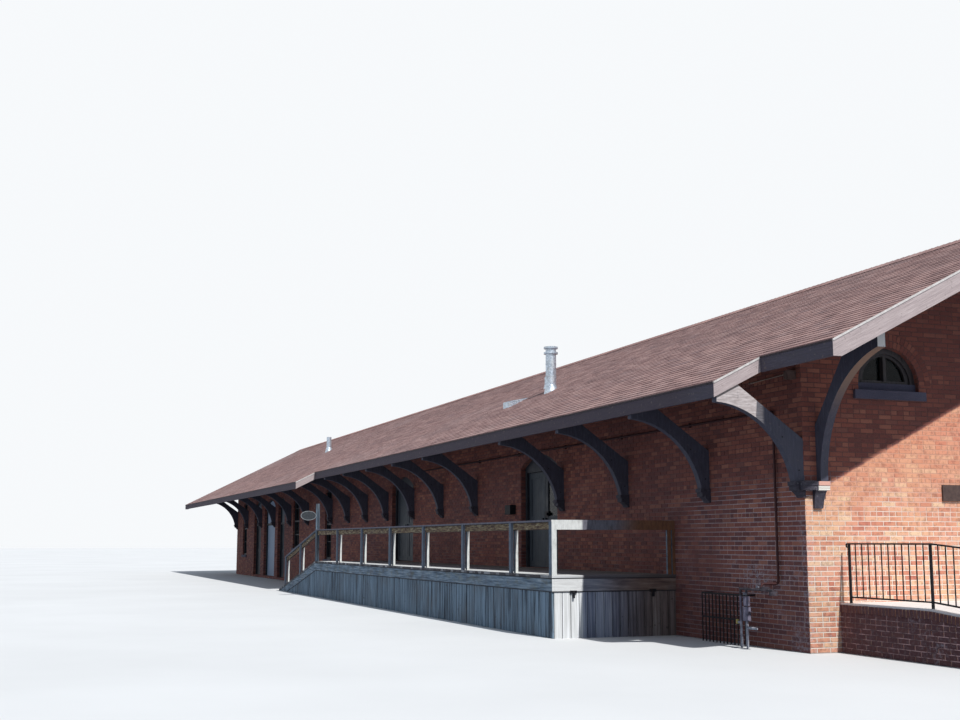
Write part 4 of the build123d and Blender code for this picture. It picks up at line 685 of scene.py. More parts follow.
# Painted shade inside the roof's shadow for the deck's top and near end, grey-blue further out and brown by
# the wall; the pale tones of these boards below are painted sunlight outside it
DECK_SHADE = ((0.3, 66, 60, 66), (0.6, 104, 98, 104), (0.7, 112, 106, 110),
                (0.3, 58, 48, 46), (0.6, 96, 84, 80), (0.7, 104, 92, 86))
END_SHADE = ((0.3, 92, 98, 116), (0.5, 132, 140, 160), (0.7, 176, 182, 194),
               (0.3, 84, 68, 62), (0.5, 124, 106, 98), (0.7, 160, 146, 136))
FINISHES = {
    "fired_brick": laid_brick(),
    "brick_shell": brick_shell(),
    "lime_mortar": mortar(),
    "shingle": shingle(),
    "roof_deck": roof_deck(),
    "trim": lit_and_shaded_trim(),
    "bracket": bracket_paint(),
    "deck_across": grey_timber("grey_deck_boards", "Y", (204, 204, 202), (150, 150, 148), (176, 172, 164),
                               0.4, DECK_SHADE),
    "skirt_upright": grey_timber("grey_skirt_boards", "Z", (128, 147, 160), (52, 64, 76), (112, 112, 112),
                                 0.4, None, 0.2, 3.4),
    "skirt_end": grey_timber("grey_end_boards", "Z", (226, 226, 222), (206, 206, 202), (190, 188, 182), 0.3,
                             END_SHADE, 0.2, 1.6),
    "rim_timber": rim_timber(),
    "rail_timber": rail_timber(),
    "floor_boards": grey_timber("floor_boards", "X", (128, 104, 78), (92, 70, 50), (108, 86, 64)),
    "joinery": painted("dark_joinery_paint", (56, 58, 64), (34, 36, 42), (92, 92, 92)),
    "grey_door": painted("grey_green_door_paint", (68, 75, 82), (48, 55, 63), (98, 102, 106), 0.045),
    "white_door": painted("pale_door_paint", (176, 192, 208), (146, 166, 190), (132, 140, 148)),
    "dark_door": painted("dark_door_paint", (62, 66, 72), (42, 46, 52), (96, 98, 98)),
    "lunette_paint": painted("lunette_paint", (74, 70, 70), (48, 42, 44), (92, 86, 84)),
    "transom": transom_paint(),
    "sill": stone("slate_painted_sill", (92, 90, 106), (66, 64, 80), (104, 102, 112)),
    "corbel": corbel_paint(),
    "concrete": stone("broomed_concrete", (244, 238, 232), (218, 210, 204), (200, 192, 186)),
    "zinc": zinc(),
    "black_iron": iron("black_iron", (22, 22, 25), (40, 40, 44), 0.25),
    "pipe_iron": iron("brown_pipe_paint", (54, 30, 32), (78, 46, 44), 0.3),
    "grey_iron": iron("grey_fitting_paint", (98, 98, 108), (138, 138, 144), 0.6),
    "yellow_paint": iron("yellow_valve_paint", (176, 156, 84), (206, 190, 120), 0.3),
    "plaque": iron("plaque_bronze", (66, 53, 51), (95, 78, 72), 0.15),
    "sign_face": iron("sign_green_grey", (52, 56, 60), (70, 74, 78), 0.1),
    "sign_rim": iron("sign_pale_rim", (126, 130, 134), (154, 158, 160), 0.15),
    "conduit": iron("pale_conduit", (146, 122, 108), (172, 148, 132), 0.2),
    "gas_paint": gas_paint(),
    "lamp_paint": lamp_paint(),
    "drip_edge": drip_metal(),
    "glass": old_glass(),
}

# The CAD nodes that wear each finish
WEARERS = {
    "brick_shell": "track_wall_near track_wall_middle track_wall_windows track_wall_far "
                   "track_wall_over_doors track_wall_under_doors back_wall near_gable far_gable "
                   "floor_sleeper_walls gable_ramp_walls",
    "concrete": "gable_ramp_slab passenger_floor",
    "floor_boards": "freight_floor",
    "roof_deck": "roof_track_slope roof_back_slope ridge_cap",
    "trim": "eave_fascias rake_boards far_gable_lookouts",
    "bracket": "track_brackets back_brackets gable_brackets",
    "corbel": "bracket_corbels",
    "joinery": "window_frames door_frames",
    "lunette_paint": "lunette_frames",
    "transom": "transom_panels",
    "glass": "window_glass lunette_glass first_door_near_leaf_glass",
    "sill": "window_sills",
    "grey_door": "first_door_far_leaf second_door_far_leaf second_door_near_leaf grey_door_leaf fixed_doors",
    "dark_door": "first_door_near_leaf dark_door_leaf",
    "white_door": "white_door_leaf",
    "deck_across": "platform_deck",
    "rim_timber": "platform_frame platform_rim",
    "rail_timber": "platform_rail",
    "skirt_upright": "platform_skirt sign_post",
    "sign_face": "oval_sign",
    "black_iron": "ramp_railing landing_railing wall_guard",
    "plaque": "gable_plaque",
    "zinc": "roof_flue roof_vents",
    "gas_paint": "gas_meter",
    "pipe_iron": "wall_pipe",
    "lamp_paint": "wall_lamps",
}
for worn_finish, wearers in WEARERS.items():
    for wearer in wearers.split():
        for material_slot in nodes[wearer].material_slots:
            material_slot.material = FINISHES[worn_finish]


# Blocks that the repeated pieces are made of, each one metre each way about its middle
def prism(name, outline):
    """A closed prism along X with that outline in Y and Z."""
    count = len(outline)
    corners = [(side, y, z) for side in (-0.5, 0.5) for y, z in outline]
    faces = [tuple(range(count))[::-1], tuple(range(count, 2 * count))]
    faces += [(i, (i + 1) % count, (i + 1) % count + count, i + count) for i in range(count)]
    mesh = bpy.data.meshes.new(name)
    mesh.from_pydata(corners, [], faces)
    mesh.validate()
    return bpy.data.objects.new(name, mesh)


BRICK_BLOCK = prism("brick_block", ((-0.5, -0.5), (0.5, -0.5), (0.5, 0.5), (-0.5, 0.5)))
WEDGE_BLOCK = prism("shingle_block", ((-0.5, 0.0), (0.5, 0.0), (0.5, 0.16), (-0.5, 1.0)))
BOARD_BLOCK = prism("board_block", ((-0.5, -0.38), (-0.47, -0.5), (0.47, -0.5), (0.5, -0.38),
                                    (0.5, 0.38), (0.47, 0.5), (-0.47, 0.5), (-0.5, 0.38)))
HOLLOW_BLOCK = prism("hollow_block", ((0.5, 0.5), (-0.5, 0.5), (-0.24, 0.22), (-0.02, -0.04), (0.14, -0.3),
                                      (0.2, -0.5), (0.5, -0.5)))
ROUND_BLOCK = prism("bolt_block", [(0.5 * math.cos(math.radians(angle)), 0.5 * math.sin(math.radians(angle)))
                                   for angle in range(0, 360, 45)])


def laying_tree():
    """Geometry tree that stands a block at each place, in the size and turn kept there, with a tint."""
    group = bpy.data.node_groups.new("lay_pieces", "GeometryNodeTree")
    names = {}
    for label, kind in (("Places", "Geometry"), ("Block", "Object"), ("Finish", "Material"), ("Seed", "Int"),
                        ("Size Spread", "Float"), ("Shift Spread", "Vector")):
        made = group.interface.new_socket(name=label, in_out="INPUT", socket_type="NodeSocket" + kind)
        names[label] = made.identifier
    group.interface.new_socket(name="Pieces", in_out="OUTPUT", socket_type="NodeSocketGeometry")
    graph = Graph(group)
    given = graph.node("NodeGroupInput")
    index = graph.node("GeometryNodeInputIndex")

    def attribute(name):
        return graph.node("GeometryNodeInputNamedAttribute", {"data_type": "FLOAT_VECTOR"}, {"Name": name})

    def chance(extra, low, high, kind="FLOAT"):
        values = {"ID": index, "Seed": given.sibling("Seed") + extra, "Min": low, "Max": high}
        return graph.node("FunctionNodeRandomValue", {"data_type": kind}, values)

    def scaled(vector, factor):
        return graph.node("ShaderNodeVectorMath", {"operation": "MULTIPLY"}, {0: vector, 1: factor})

    tinted = graph.node("GeometryNodeStoreNamedAttribute", {"data_type": "FLOAT", "domain": "POINT"},
                        {"Geometry": given.sibling("Places"), "Name": "tint", "Value": chance(0, 0.0, 1.0)})
    wander = chance(1, (-1.0, -1.0, -1.0), (1.0, 1.0, 1.0), "FLOAT_VECTOR")
    moved = graph.node("GeometryNodeSetPosition", None,
                       {"Geometry": tinted, "Offset": scaled(wander, given.sibling("Shift Spread"))})
    spread = given.sibling("Size Spread")
    grown = graph.node("ShaderNodeCombineXYZ", None,
                       {axis: 1 + chance(2 + axis, -1.0, 1.0) * spread for axis in range(3)})
    body = graph.node("GeometryNodeObjectInfo", None, {"Object": given.sibling("Block")}).sibling("Geometry")
    turn = graph.node("FunctionNodeEulerToRotation", None, {0: attribute("turn")})
    stood = graph.node("GeometryNodeInstanceOnPoints", None,
                       {"Points": moved, "Instance": body, "Rotation": turn,
                        "Scale": scaled(attribute("size"), grown)})
    real = graph.node("GeometryNodeRealizeInstances", None, {"Geometry": stood})
    done = graph.node("GeometryNodeSetMaterial", None,
                      {"Geometry": real, "Material": given.sibling("Finish")})
    graph.node("NodeGroupOutput", None, {0: done})
    return group, names


LAYING, LAYING_INPUTS = laying_tree()
STRAIGHT = (0.0, 0.0, 0.0)


def keep(name, mesh, body="building"):
    """Links a finished mesh as a piece that rides on a body."""
    made = bpy.data.objects.new(name, mesh)
    bpy.context.scene.collection.objects.link(made)
    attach(made, body)
    return made


def lay(name, places, finish, seed=5, shape=BRICK_BLOCK, spread=0.0, shift=STRAIGHT, body="building"):
    """Makes one piece from blocks at (middle, size, turn) places. Without a turn a block stands straight."""
    mesh = bpy.data.meshes.new(name + "_places")
    mesh.from_pydata([place[0] for place in places], [], [])
    for key, part in (("size", 1), ("turn", 2)):
        stored = mesh.attributes.new(key, "FLOAT_VECTOR", "POINT")
        stored.data.foreach_set("vector", [number for place in places for number in (*place, STRAIGHT)[part]])
    source = bpy.data.objects.new(name + "_places", mesh)
    bpy.context.scene.collection.objects.link(source)
    modifier = source.modifiers.new("lay", "NODES")
    modifier.node_group = LAYING
    for label, value in (("Block", shape), ("Finish", FINISHES[finish]), ("Seed", seed),
                         ("Size Spread", spread), ("Shift Spread", shift)):
        modifier[LAYING_INPUTS[label]] = value
    evaluated = source.evaluated_get(bpy.context.evaluated_depsgraph_get())
    result = bpy.data.meshes.new_from_object(evaluated)
    source.modifiers.remove(modifier)
    bpy.data.objects.remove(source)
    result.materials.clear()
    result.materials.append(FINISHES[finish])
    result.polygons.foreach_set("material_index", [0] * len(result.polygons))
    return keep(name, result, body)


def rods(name, ends, diameter, finish):
    """Round bars, each between two points."""
    places = []
    for start, end in ends:
        line = Vector(end) - Vector(start)
        turn = line.to_track_quat("X", "Z").to_euler("XYZ")
        places.append(((Vector(start) + Vector(end)) / 2, (line.length, diameter, diameter), turn))
    return lay(name, places, finish, shape=ROUND_BLOCK)


def solid(name, shells, finish, closed=False):
    """A piece from shells, each a list of rows of corners with faces from row to row. The first and the last
    row are capped, or joined to each other where the shells are closed."""
    corners, faces = [], []
    for rows in shells:
        first, size, count = len(corners), len(rows[0]), len(rows)
        corners += [corner for row in rows for corner in row]
        for index in range(count if closed else count - 1):
            here, after = first + size * index, first + size * ((index + 1) % count)
            faces += [(here + i, after + i, after + (i + 1) % size, here + (i + 1) % size)
                      for i in range(size)]
        if not closed:
            last = first + size * (count - 1)
            faces += [tuple(range(first, first + size)), tuple(range(last, last + size))[::-1]]
    mesh = bpy.data.meshes.new(name)
    mesh.from_pydata(corners, [], faces)
    shape = bmesh.new()
    shape.from_mesh(mesh)
    bmesh.ops.recalc_face_normals(shape, faces=shape.faces)
    shape.to_mesh(mesh)
    shape.free()
    mesh.materials.append(FINISHES[finish])
    return keep(name, mesh)


def turned(angle, axis, quarter_axis):
    """A quarter turn about one axis and then a turn about another, as the angles of a place."""
    both = Matrix.Rotation(angle, 3, axis) @ Matrix.Rotation(QUARTER, 3, quarter_axis)
    return tuple(both.to_euler("XYZ"))


# Openings in the brickwork
class Hole:
    """An opening in brickwork: its middle along the wall, width, base and spring, the radius of its arch if
    it has one, and how far its sill reaches past it on each side and down."""

    def __init__(self, middle, width, base, spring, radius=None, horn=0.0, sill=0.0):
        self.middle = middle
        self.half = width / 2
        self.base = base
        self.spring = spring
        self.radius = radius
        self.horn = horn
        self.sill = sill
        if radius:
            self.angle = math.asin(min(1.0, self.half / radius))
            self.centre = spring - radius * math.cos(self.angle)

    def half_at(self, level):
        """Half width of the hole and its arch ring in the bricks at a height, or None above and below it."""
        if self.sill and self.base - self.sill < level < self.base:
            return self.half + self.horn
        if level < self.base:
            return None
        if level < self.spring:
            return self.half
        if not self.radius:
            return None
        outer = self.radius + 2 * RING - 0.004
        if level < self.centre + outer * math.cos(self.angle):
            if self.angle < 1.5:
                return self.half + (level - self.spring) * math.tan(self.angle)
            return self.half + 2 * RING
        rest = outer ** 2 - (level - self.centre) ** 2
        return math.sqrt(rest) if rest > 0 else None


def low_arches(rows, horn=0.0, sill=0.0):
    """Holes under a low arch, from the near edge, width and base of each."""
    made = []
    for start, width, base in rows:
        rise = width * ARCH_RATIO
        radius = ((width / 2) ** 2 + rise ** 2) / (2 * rise)
        made.append(Hole(start + width / 2, width, base, ARCH_TOP - rise, radius, horn, sill))
    return made


FREIGHT_DOORS = low_arches(((4.13, 0.945, DECK_TOP), (8.875, 1.0, DECK_TOP)))
STATION_DOORS = low_arches(((17.3, 0.65, 0.045), (18.25, 1.15, 0.045), (19.75, 0.8, 0.045)))
TRACK_WINDOWS = low_arches(((13.45, 0.45, 0.455), (15.95, 0.55, 0.63), (21.45, 0.5, 0.455)), SILL_HORN, SILL)
BACK_WINDOWS = TRACK_WINDOWS + low_arches(((17.3, 0.45, 0.455), (19.69, 0.45, 0.455)), SILL_HORN, SILL)
LUNETTES = [Hole(middle, 2 * LUNETTE_RADIUS, LUNETTE_BASE, LUNETTE_SPRING, LUNETTE_RADIUS, LUNETTE_HORN,
                 LUNETTE_SILL) for middle in (0.735, 3.015)]
NEAR_DOOR = Hole(HALF_DEPTH, 0.55, LANDING, LANDING + 1.09)
FAR_DOOR = Hole(HALF_DEPTH, 0.55, 0.045, 1.09)


def cut(spans, low, high):
    """Spans of a course with a stretch taken out."""
    left = []
    for start, end in spans:
        if high <= start or low >= end:
            left.append((start, end))
            continue
        if start < low:
            left.append((start, low))
        if end > high:
            left.append((high, end))
    return left


def courses(length, top, holes=(), parity=0, limits=None, joint=JOINT):
    """(distance, height, length) of every brick of a wall, in stretchers with a header course at times."""
    bricks = []
    for row in range(int(top / COURSE) + 1):
        level = (row + 0.5) * COURSE
        unit = BRICK / 2 if row % HEADER_EVERY == HEADER_EVERY - 1 else BRICK
        shift = (row + parity) % 2 * BRICK / 2
        low, high = limits(level) if limits else (-PROUD, length + PROUD)
        spans = [(low, high)] if high > low else []
        for hole in holes:
            half = hole.half_at(level)
            if half:
                spans = cut(spans, hole.middle - half, hole.middle + half)
        for start, end in spans:
            for index in range(math.floor((start - shift) / unit), math.floor((end - shift) / unit) + 1):
                left = shift + index * unit
                first = max(start, left + joint / 2)
                last = min(end, left + unit - joint / 2)
                if last - first > SMALLEST_BRICK:
                    bricks.append(((first + last) / 2, level, last - first))
    return bricks


def ring_blocks(hole, inset):
    """(distance, height, width, depth, angle) of every brick on edge in the two rings of an arch."""
    made = []
    for ring in (0, 1):
        middle = hole.radius + RING * (ring + 0.5)
        arc = 2 * hole.angle * middle
        count = max(5, round(arc / COURSE))
        count += 1 - count % 2
        for index in range(count):
            turn = hole.angle * (2 * (index + 0.5) / count - 1)
            made.append((hole.middle + math.sin(turn) * middle, hole.centre + math.cos(turn) * middle,
                         arc / count - inset, RING - inset, turn))
    return made


def face_bricks(name, put_on, bricks, holes, seed, shift):
    """Bricks and arches of one face of the building. put_on gives the place of a block on it."""
    lay(name + "_bricks", [put_on(*brick) for brick in bricks], "fired_brick", seed, shift=shift)
    for label, proud, inset, finish in (("arch_mortar", PROUD + 0.0006, -0.0004, "lime_mortar"),
                                        ("arch_bricks", PROUD + 0.0016, JOINT, "fired_brick")):
        places = [put_on(distance, level, width, proud, depth, turn) for hole in holes if hole.radius
                  for distance, level, width, depth, turn in ring_blocks(hole, inset)]
        lay(f"{name}_{label}", places, finish, seed + 1)


def side_face(name, side, holes, seed):
    """A long wall: side -1 is the track wall, 1 the back wall."""

    def put_on(distance, level, length, proud, height, turn=0.0):
        middle = (HALF_LENGTH - distance, side * HALF_DEPTH, level)
        return middle, (length, 2 * proud, height), (0, -turn, 0)

    bricks = [(distance, level, length, PROUD, COURSE - JOINT)
              for distance, level, length in courses(2 * HALF_LENGTH, WALL_TOP, holes)]
    face_bricks(name, put_on, bricks, holes, seed, (0, UNEVEN, 0))


def gable_limits(level):
    """Ends of a gable's course under the roof."""
    run = (level - WALL_TOP) / ROOF_RISE
    if run <= 0:
        return -PROUD, 2 * HALF_DEPTH + PROUD
    return run, 2 * HALF_DEPTH - run


def gable_face(name, side, holes, seed):
    """A gable: side 1 is the near one, -1 the far one."""

    def put_on(distance, level, length, proud, height, turn=0.0):
        middle = (side * HALF_LENGTH, distance - HALF_DEPTH, level)
        return middle, (2 * proud, length, height), (-turn, 0, 0)

    bricks = [(distance, level, length, FLUSH, COURSE - joint) for low, high, joint in GABLE_JOINTS
              for distance, level, length in courses(2 * HALF_DEPTH, GABLE_TOP, holes, 1, gable_limits, joint)
              if low <= level < high]
    face_bricks(name, put_on, bricks, holes, seed, (0.0004, 0, 0))


side_face("track_wall", -1, FREIGHT_DOORS + STATION_DOORS + TRACK_WINDOWS, 11)
side_face("back_wall", 1, FREIGHT_DOORS + BACK_WINDOWS, 23)
gable_face("near_gable", 1, LUNETTES + [NEAR_DOOR], 37)
gable_face("far_gable", -1, LUNETTES + [FAR_DOOR], 41)

# Bricks of the ramp at the near gable, with a course on edge that comes up in front of the slab
EDGE_COURSE = 0.052
EDGE_DEPTH = 0.012
EDGE_JOINT = 0.003
LIP = 0.011
RAMP_WALL_TOP = LANDING - LIP
RAMP_BRICKS_END = GABLE_RAMP_END - 0.6


def ramp_limits(level):
    """Ends of a course of the ramp's wall below its course on edge."""
    room = RAMP_WALL_TOP - EDGE_COURSE - level - COURSE / 2
    if room < 0:
        return 0, 0
    return 0.0, LANDING_EDGE - HALF_LENGTH + room / RAMP_SLOPE


def ramp_brickwork():
    places, edge_places = [], []
    height = RAMP_WALL_TOP - EDGE_COURSE - COURSE
    laid_height = COURSE - WIDE_JOINT
    for y, start, end, limits in ((LANDING_FACE, HALF_LENGTH, RAMP_BRICKS_END, ramp_limits),
                                  (GABLE_RAMP_BACK, LANDING_EDGE, RAMP_BRICKS_END, ramp_limits),
                                  (LANDING_BACK, HALF_LENGTH, LANDING_EDGE, None)):
        for distance, level, length in courses(LANDING_EDGE - HALF_LENGTH, height, limits=limits,
                                                joint=WIDE_JOINT):
            if HALF_LENGTH + distance >= start:
                places.append(((HALF_LENGTH + distance, y, level), (length, 2 * PROUD, laid_height)))
        for index in range(int((end - start) / COURSE)):
            x = start + (index + 0.5) * COURSE
            down = max(0.0, x - LANDING_EDGE)
            turn = math.atan(RAMP_SLOPE) if down else 0.0
            edge_places.append(((x, y, RAMP_WALL_TOP - down * RAMP_SLOPE - EDGE_COURSE / 2),
                                (COURSE - JOINT, EDGE_DEPTH, EDGE_COURSE - EDGE_JOINT), (0, turn, 0)))
    landing_side = LANDING_BACK - GABLE_RAMP_BACK
    for distance, level, length in courses(landing_side, height, joint=WIDE_JOINT):
        places.append(((LANDING_EDGE, GABLE_RAMP_BACK + distance, level), (2 * PROUD, length, laid_height)))
    for index in range(int(landing_side / COURSE)):
        y = GABLE_RAMP_BACK + (index + 0.5) * COURSE
        edge_places.append(((LANDING_EDGE, y, RAMP_WALL_TOP - EDGE_COURSE / 2),
                            (EDGE_DEPTH, COURSE - JOINT, EDGE_COURSE - EDGE_JOINT)))
    lay("ramp_wall_bricks", places, "fired_brick", 53, shift=(0, UNEVEN, 0))
    lay("ramp_edge_bricks", edge_places, "fired_brick", 59, spread=0.02, shift=(0, UNEVEN, 0.0008))


ramp_brickwork()

# Shingles in courses from the ridge to the eaves
EXPOSURE = 0.068
TAB = 0.152
TAB_WIDTHS = (0.55, 0.8, 1.0, 1.0, 1.2)
BUTT = 0.0055
EAVE_OVERHANG = 0.006
VERGE = 0.004
CAP_REACH = 0.065
CAP_LAP = 0.07


def roof_level(run):
    return ROOF_AT_WALL + ROOF_RISE * run


def shingle_places(side):
    """Tabs of one slope, side -1 towards the track, in courses that run through over all three eaves."""
    chance = random.Random(71 + side)
    run_step = EXPOSURE * math.cos(SLOPE)
    turn = (SLOPE, 0, 0) if side < 0 else (SLOPE, 0, math.pi)
    places = []
    for start, end, eave in EAVES:
        near = end + VERGE if end == NEAR_END else end
        far = start - VERGE if start == FAR_END else start
        for row in range(int((HALF_DEPTH + eave) / run_step) + 1):
            high = HALF_DEPTH - row * run_step
            low = max(high - run_step, -eave - EAVE_OVERHANG)
            middle = (high + low) / 2
            x = near
            while x > far + 0.01:
                width = TAB * chance.choice(TAB_WIDTHS)
                if x == near:
                    width = 0.05 + TAB * chance.random()
                width = min(width, x - far)
                thick = BUTT * chance.uniform(0.75, 1.1)
                places.append(((x - width / 2, side * (HALF_DEPTH - middle), roof_level(middle)),
                               (width - 0.002, (high - low) / math.cos(SLOPE), thick), turn))
                x -= width
    return places


def ridge_places():
    """Folded cap shingles, a pair of leaves each, with their butt to the near end."""
    places = []
    for index in range(int((NEAR_END - FAR_END) / CAP_LAP)):
        for side in (-1, 1):
            level = roof_level(HALF_DEPTH - CAP_REACH) + 0.0065
            middle = (NEAR_END - (index + 0.5) * CAP_LAP, side * CAP_REACH, level)
            size = (2 * CAP_REACH / math.cos(SLOPE), CAP_LAP, 0.0042)
            places.append((middle, size, turned(-side * SLOPE, "X", "Z")))
    return places


lay("track_slope_shingles", shingle_places(-1), "shingle", 73, WEDGE_BLOCK)
lay("back_slope_shingles", shingle_places(1), "shingle", 79, WEDGE_BLOCK)
lay("ridge_shingles", ridge_places(), "shingle", 83, WEDGE_BLOCK)

# Thin metal drip edges along the eaves and up the rakes, these with the ends of their run up the slope
DRIP = 0.004
RAKES = ((NEAR_END + DRIP / 2, -NEAR_EAVE, HALF_DEPTH), (FAR_END - DRIP / 2, -FAR_EAVE, HALF_DEPTH),
         (HALF_LENGTH + DRIP / 2, -MIDDLE_EAVE, -NEAR_EAVE), (FAR_STEP + DRIP / 2, -FAR_EAVE, -MIDDLE_EAVE))


def drip_places():
    places = []
    for start, end, eave in EAVES:
        for side in (-1, 1):
            y = side * (HALF_DEPTH + eave + DRIP / 2)
            places.append((((start + end) / 2, y, roof_level(-eave) - 0.007), (end - start, DRIP, 0.013)))
    for x, low, high in RAKES:
        run = (low + high) / 2
        for side in (-1, 1):
            places.append(((x, side * (HALF_DEPTH - run), roof_level(run) - 0.008),
                           (DRIP, (high - low) / math.cos(SLOPE), 0.014), (-side * SLOPE, 0, 0)))
    return places


lay("drip_edges", drip_places(), "drip_edge", 89)

# Deck boards, in place of the plain deck
BOARD_PITCH = 0.0748
BOARD_GAP = 0.0035
DECK_END = DECK_NEAR + 0.006
BOARD_LENGTH = DECK_EDGE + 0.004 - HALF_DEPTH
BOARD_MIDDLE = -(HALF_DEPTH + 0.0003 + BOARD_LENGTH / 2)


def deck_places():
    """Boards across the deck and down its ramp."""
    places = []
    count = round((DECK_END - DECK_FAR) / BOARD_PITCH)
    pitch = (DECK_END - DECK_FAR) / count
    for index in range(count):
        places.append(((DECK_END - (index + 0.5) * pitch, BOARD_MIDDLE, DECK_TOP - 0.01),
                       (BOARD_LENGTH, pitch - BOARD_GAP, 0.0194), (0, 0, QUARTER)))
    length = (DECK_FAR - RAMP_END) / math.cos(RAMP_TURN)
    count = round(length / BOARD_PITCH)
    for index in range(count):
        down = (DECK_FAR - RAMP_END) * (index + 0.5) / count
        places.append(((DECK_FAR - down, BOARD_MIDDLE, DECK_TOP - down * DECK_FALL - 0.01),
                       (BOARD_LENGTH, length / count - BOARD_GAP, 0.0188), turned(-RAMP_TURN, "Y", "Z")))
    return places


deck_boards = lay("deck_boards", deck_places(), "deck_across", 97, BOARD_BLOCK,
                  shift=(0, 0.0018, 0.0004))
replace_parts(deck_boards, "platform_deck")

# Upright skirt boards, in place of the plain skirt
RIM_BOTTOM = DECK_TOP - 0.13
SKIRT_BOARD = 0.07
SKIRT_THICK = 0.0118
SKIRT_FACE = DECK_EDGE - 0.005


def front_skirt_places():
    """Boards along the front, shorter and shorter under the ramp."""
    places = []
    toe = DECK_FAR - RIM_BOTTOM / DECK_FALL
    x = DECK_NEAR - 0.005
    while x > toe + 0.05:
        width = min(SKIRT_BOARD, x - toe)
        top = RIM_BOTTOM + 0.01
        if x - width < DECK_FAR:
            top = RIM_BOTTOM - (DECK_FAR - (x - width * 0.3)) * DECK_FALL + 0.012
        if top > 0.015:
            places.append(((x - width / 2, -(SKIRT_FACE - 0.006), top / 2),
                           (top, SKIRT_THICK, width - 0.0085), (0, QUARTER, 0)))
        x -= width
    return places


def end_skirt_places():
    y = -(SKIRT_FACE - 0.0125)
    count = round((-HALF_DEPTH - y) / SKIRT_BOARD)
    width = (-HALF_DEPTH - 0.001 - y) / count
    return [((DECK_NEAR - 0.011, y + (index + 0.5) * width, RIM_BOTTOM / 2),
             (RIM_BOTTOM + 0.01, SKIRT_THICK, width - 0.006), turned(QUARTER, "Z", "Y"))
            for index in range(count)]


skirt_boards = lay("skirt_boards", front_skirt_places(), "skirt_upright", 101, BOARD_BLOCK,
                   shift=(0, 0.0012, 0.0015))
end_boards = lay("end_skirt_boards", end_skirt_places(), "skirt_end", 107, BOARD_BLOCK,
                 shift=(0.001, 0, 0.0015))
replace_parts(skirt_boards, "platform_skirt")
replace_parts(end_boards, "platform_skirt")

# Bars of the windows
WINDOW_BAR = 0.012


def bar_places():
    """An upright and two crossbars in each window."""
    places = []
    for side, holes in ((-1, TRACK_WINDOWS), (1, BACK_WINDOWS)):
        y = side * (WINDOW_FACE - 0.018)
        for hole in holes:
            x = HALF_LENGTH - hole.middle
            top = ARCH_TOP - 0.028
            places.append(((x, y, (hole.base + top) / 2), (WINDOW_BAR, 0.02, top - hole.base - 0.02)))
            middle = (hole.base + ARCH_TOP) / 2
            for level in ((hole.base + middle) / 2, (middle + ARCH_TOP) / 2 - 0.01):
                places.append(((x, y, level), (2 * hole.half - 0.05, 0.018, WINDOW_BAR)))
    return places


lay("window_bars", bar_places(), "joinery", 103)

# Lunettes: for each ring of wood the radius and centre of both its arches, and the depths of its faces
LUNETTES_AT = [(end, middle) for end in (-1, 1) for middle in (-1.14, 1.14)]
LUNETTE_RINGS = ((0.2596, LUNETTE_SPRING, 0.218, 1.848, 0.038, 0.075),
                 (0.2182, 1.862, 0.185, 1.862, 0.053, 0.085))
PANE_RADIUS = 0.187
PANE_CENTRE = 1.862
PANE_FOOT = 1.868
PANE_DEPTHS = (0.072, 0.076)


def arch_points(radius, centre, foot, steps=26):
    """Points up one side, over the arch and down the other."""
    angles = [math.pi * step / steps for step in range(steps + 1)]
    arc = [(radius * math.cos(angle), centre + radius * math.sin(angle)) for angle in angles]
    return [(radius, foot)] + arc + [(-radius, foot)]


def lunette_joinery():
    """The casing and the sash of each lunette, arched rings of wood."""
    shells = []
    foot = LUNETTE_BASE + 0.0003
    for outer, outer_centre, inner, inner_centre, front, back in LUNETTE_RINGS:
        for end, middle in LUNETTES_AT:
            rows = []
            inner_points = arch_points(inner, inner_centre, foot)
            for far, near in zip(arch_points(outer, outer_centre, foot), inner_points):
                section = ((front, far), (front, near), (back, near), (back, far))
                rows.append([(end * (HALF_LENGTH - depth), middle + y, z) for depth, (y, z) in section])
            shells.append(rows)
    return solid("lunette_joinery", shells, "lunette_paint")


def lunette_panes():
    outline = arch_points(PANE_RADIUS, PANE_CENTRE, PANE_FOOT)
    shells = [[[(end * (HALF_LENGTH - depth), middle + y, z) for y, z in outline] for depth in PANE_DEPTHS]
              for end, middle in LUNETTES_AT]
    return solid("lunette_panes", shells, "glass")


def lunette_bits(depth, level, size):
    """One block for each lunette, at that depth behind the face."""
    return [((end * (HALF_LENGTH - depth), middle, level), size) for end, middle in LUNETTES_AT]


base_boards = lunette_bits(0.056, LUNETTE_BASE + 0.0295, (0.044, 0.519, 0.058))
bottom_rails = lunette_bits(0.066, 1.8625, (0.036, 0.40, 0.021))
middle_bars = lunette_bits(0.058, 1.957, (0.044, 0.025, 0.176))
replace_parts(lunette_joinery(), "lunette_frames")
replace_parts(lay("lunette_base_boards", base_boards, "sill"), "lunette_frames")
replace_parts(lay("lunette_bars", bottom_rails + middle_bars, "lunette_paint"), "lunette_frames")
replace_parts(lunette_panes(), "lunette_glass")

# Pale rim round the oval sign, which stands across the building
SIGN_X = DECK_FAR + 0.005
SIGN_Y = -(DECK_EDGE + 0.109)
SIGN_Z = 1.10
SIGN_HALF_WIDTH = 0.1092
SIGN_HALF_HEIGHT = 0.0642
RIM_SECTION = ((0.0, 0.0068), (0.007, 0.0068), (0.007, -0.0068), (0.0, -0.0068))


def sign_rim(steps=40):
    rows = []
    for step in range(steps):
        angle = math.tau * step / steps
        rows.append([(SIGN_X + across, SIGN_Y + (SIGN_HALF_WIDTH - inwards) * math.cos(angle),
                      SIGN_Z + (SIGN_HALF_HEIGHT - inwards) * math.sin(angle))
                     for inwards, across in RIM_SECTION])
    return solid("sign_rim", [rows], "sign_rim", closed=True)


sign_rim()

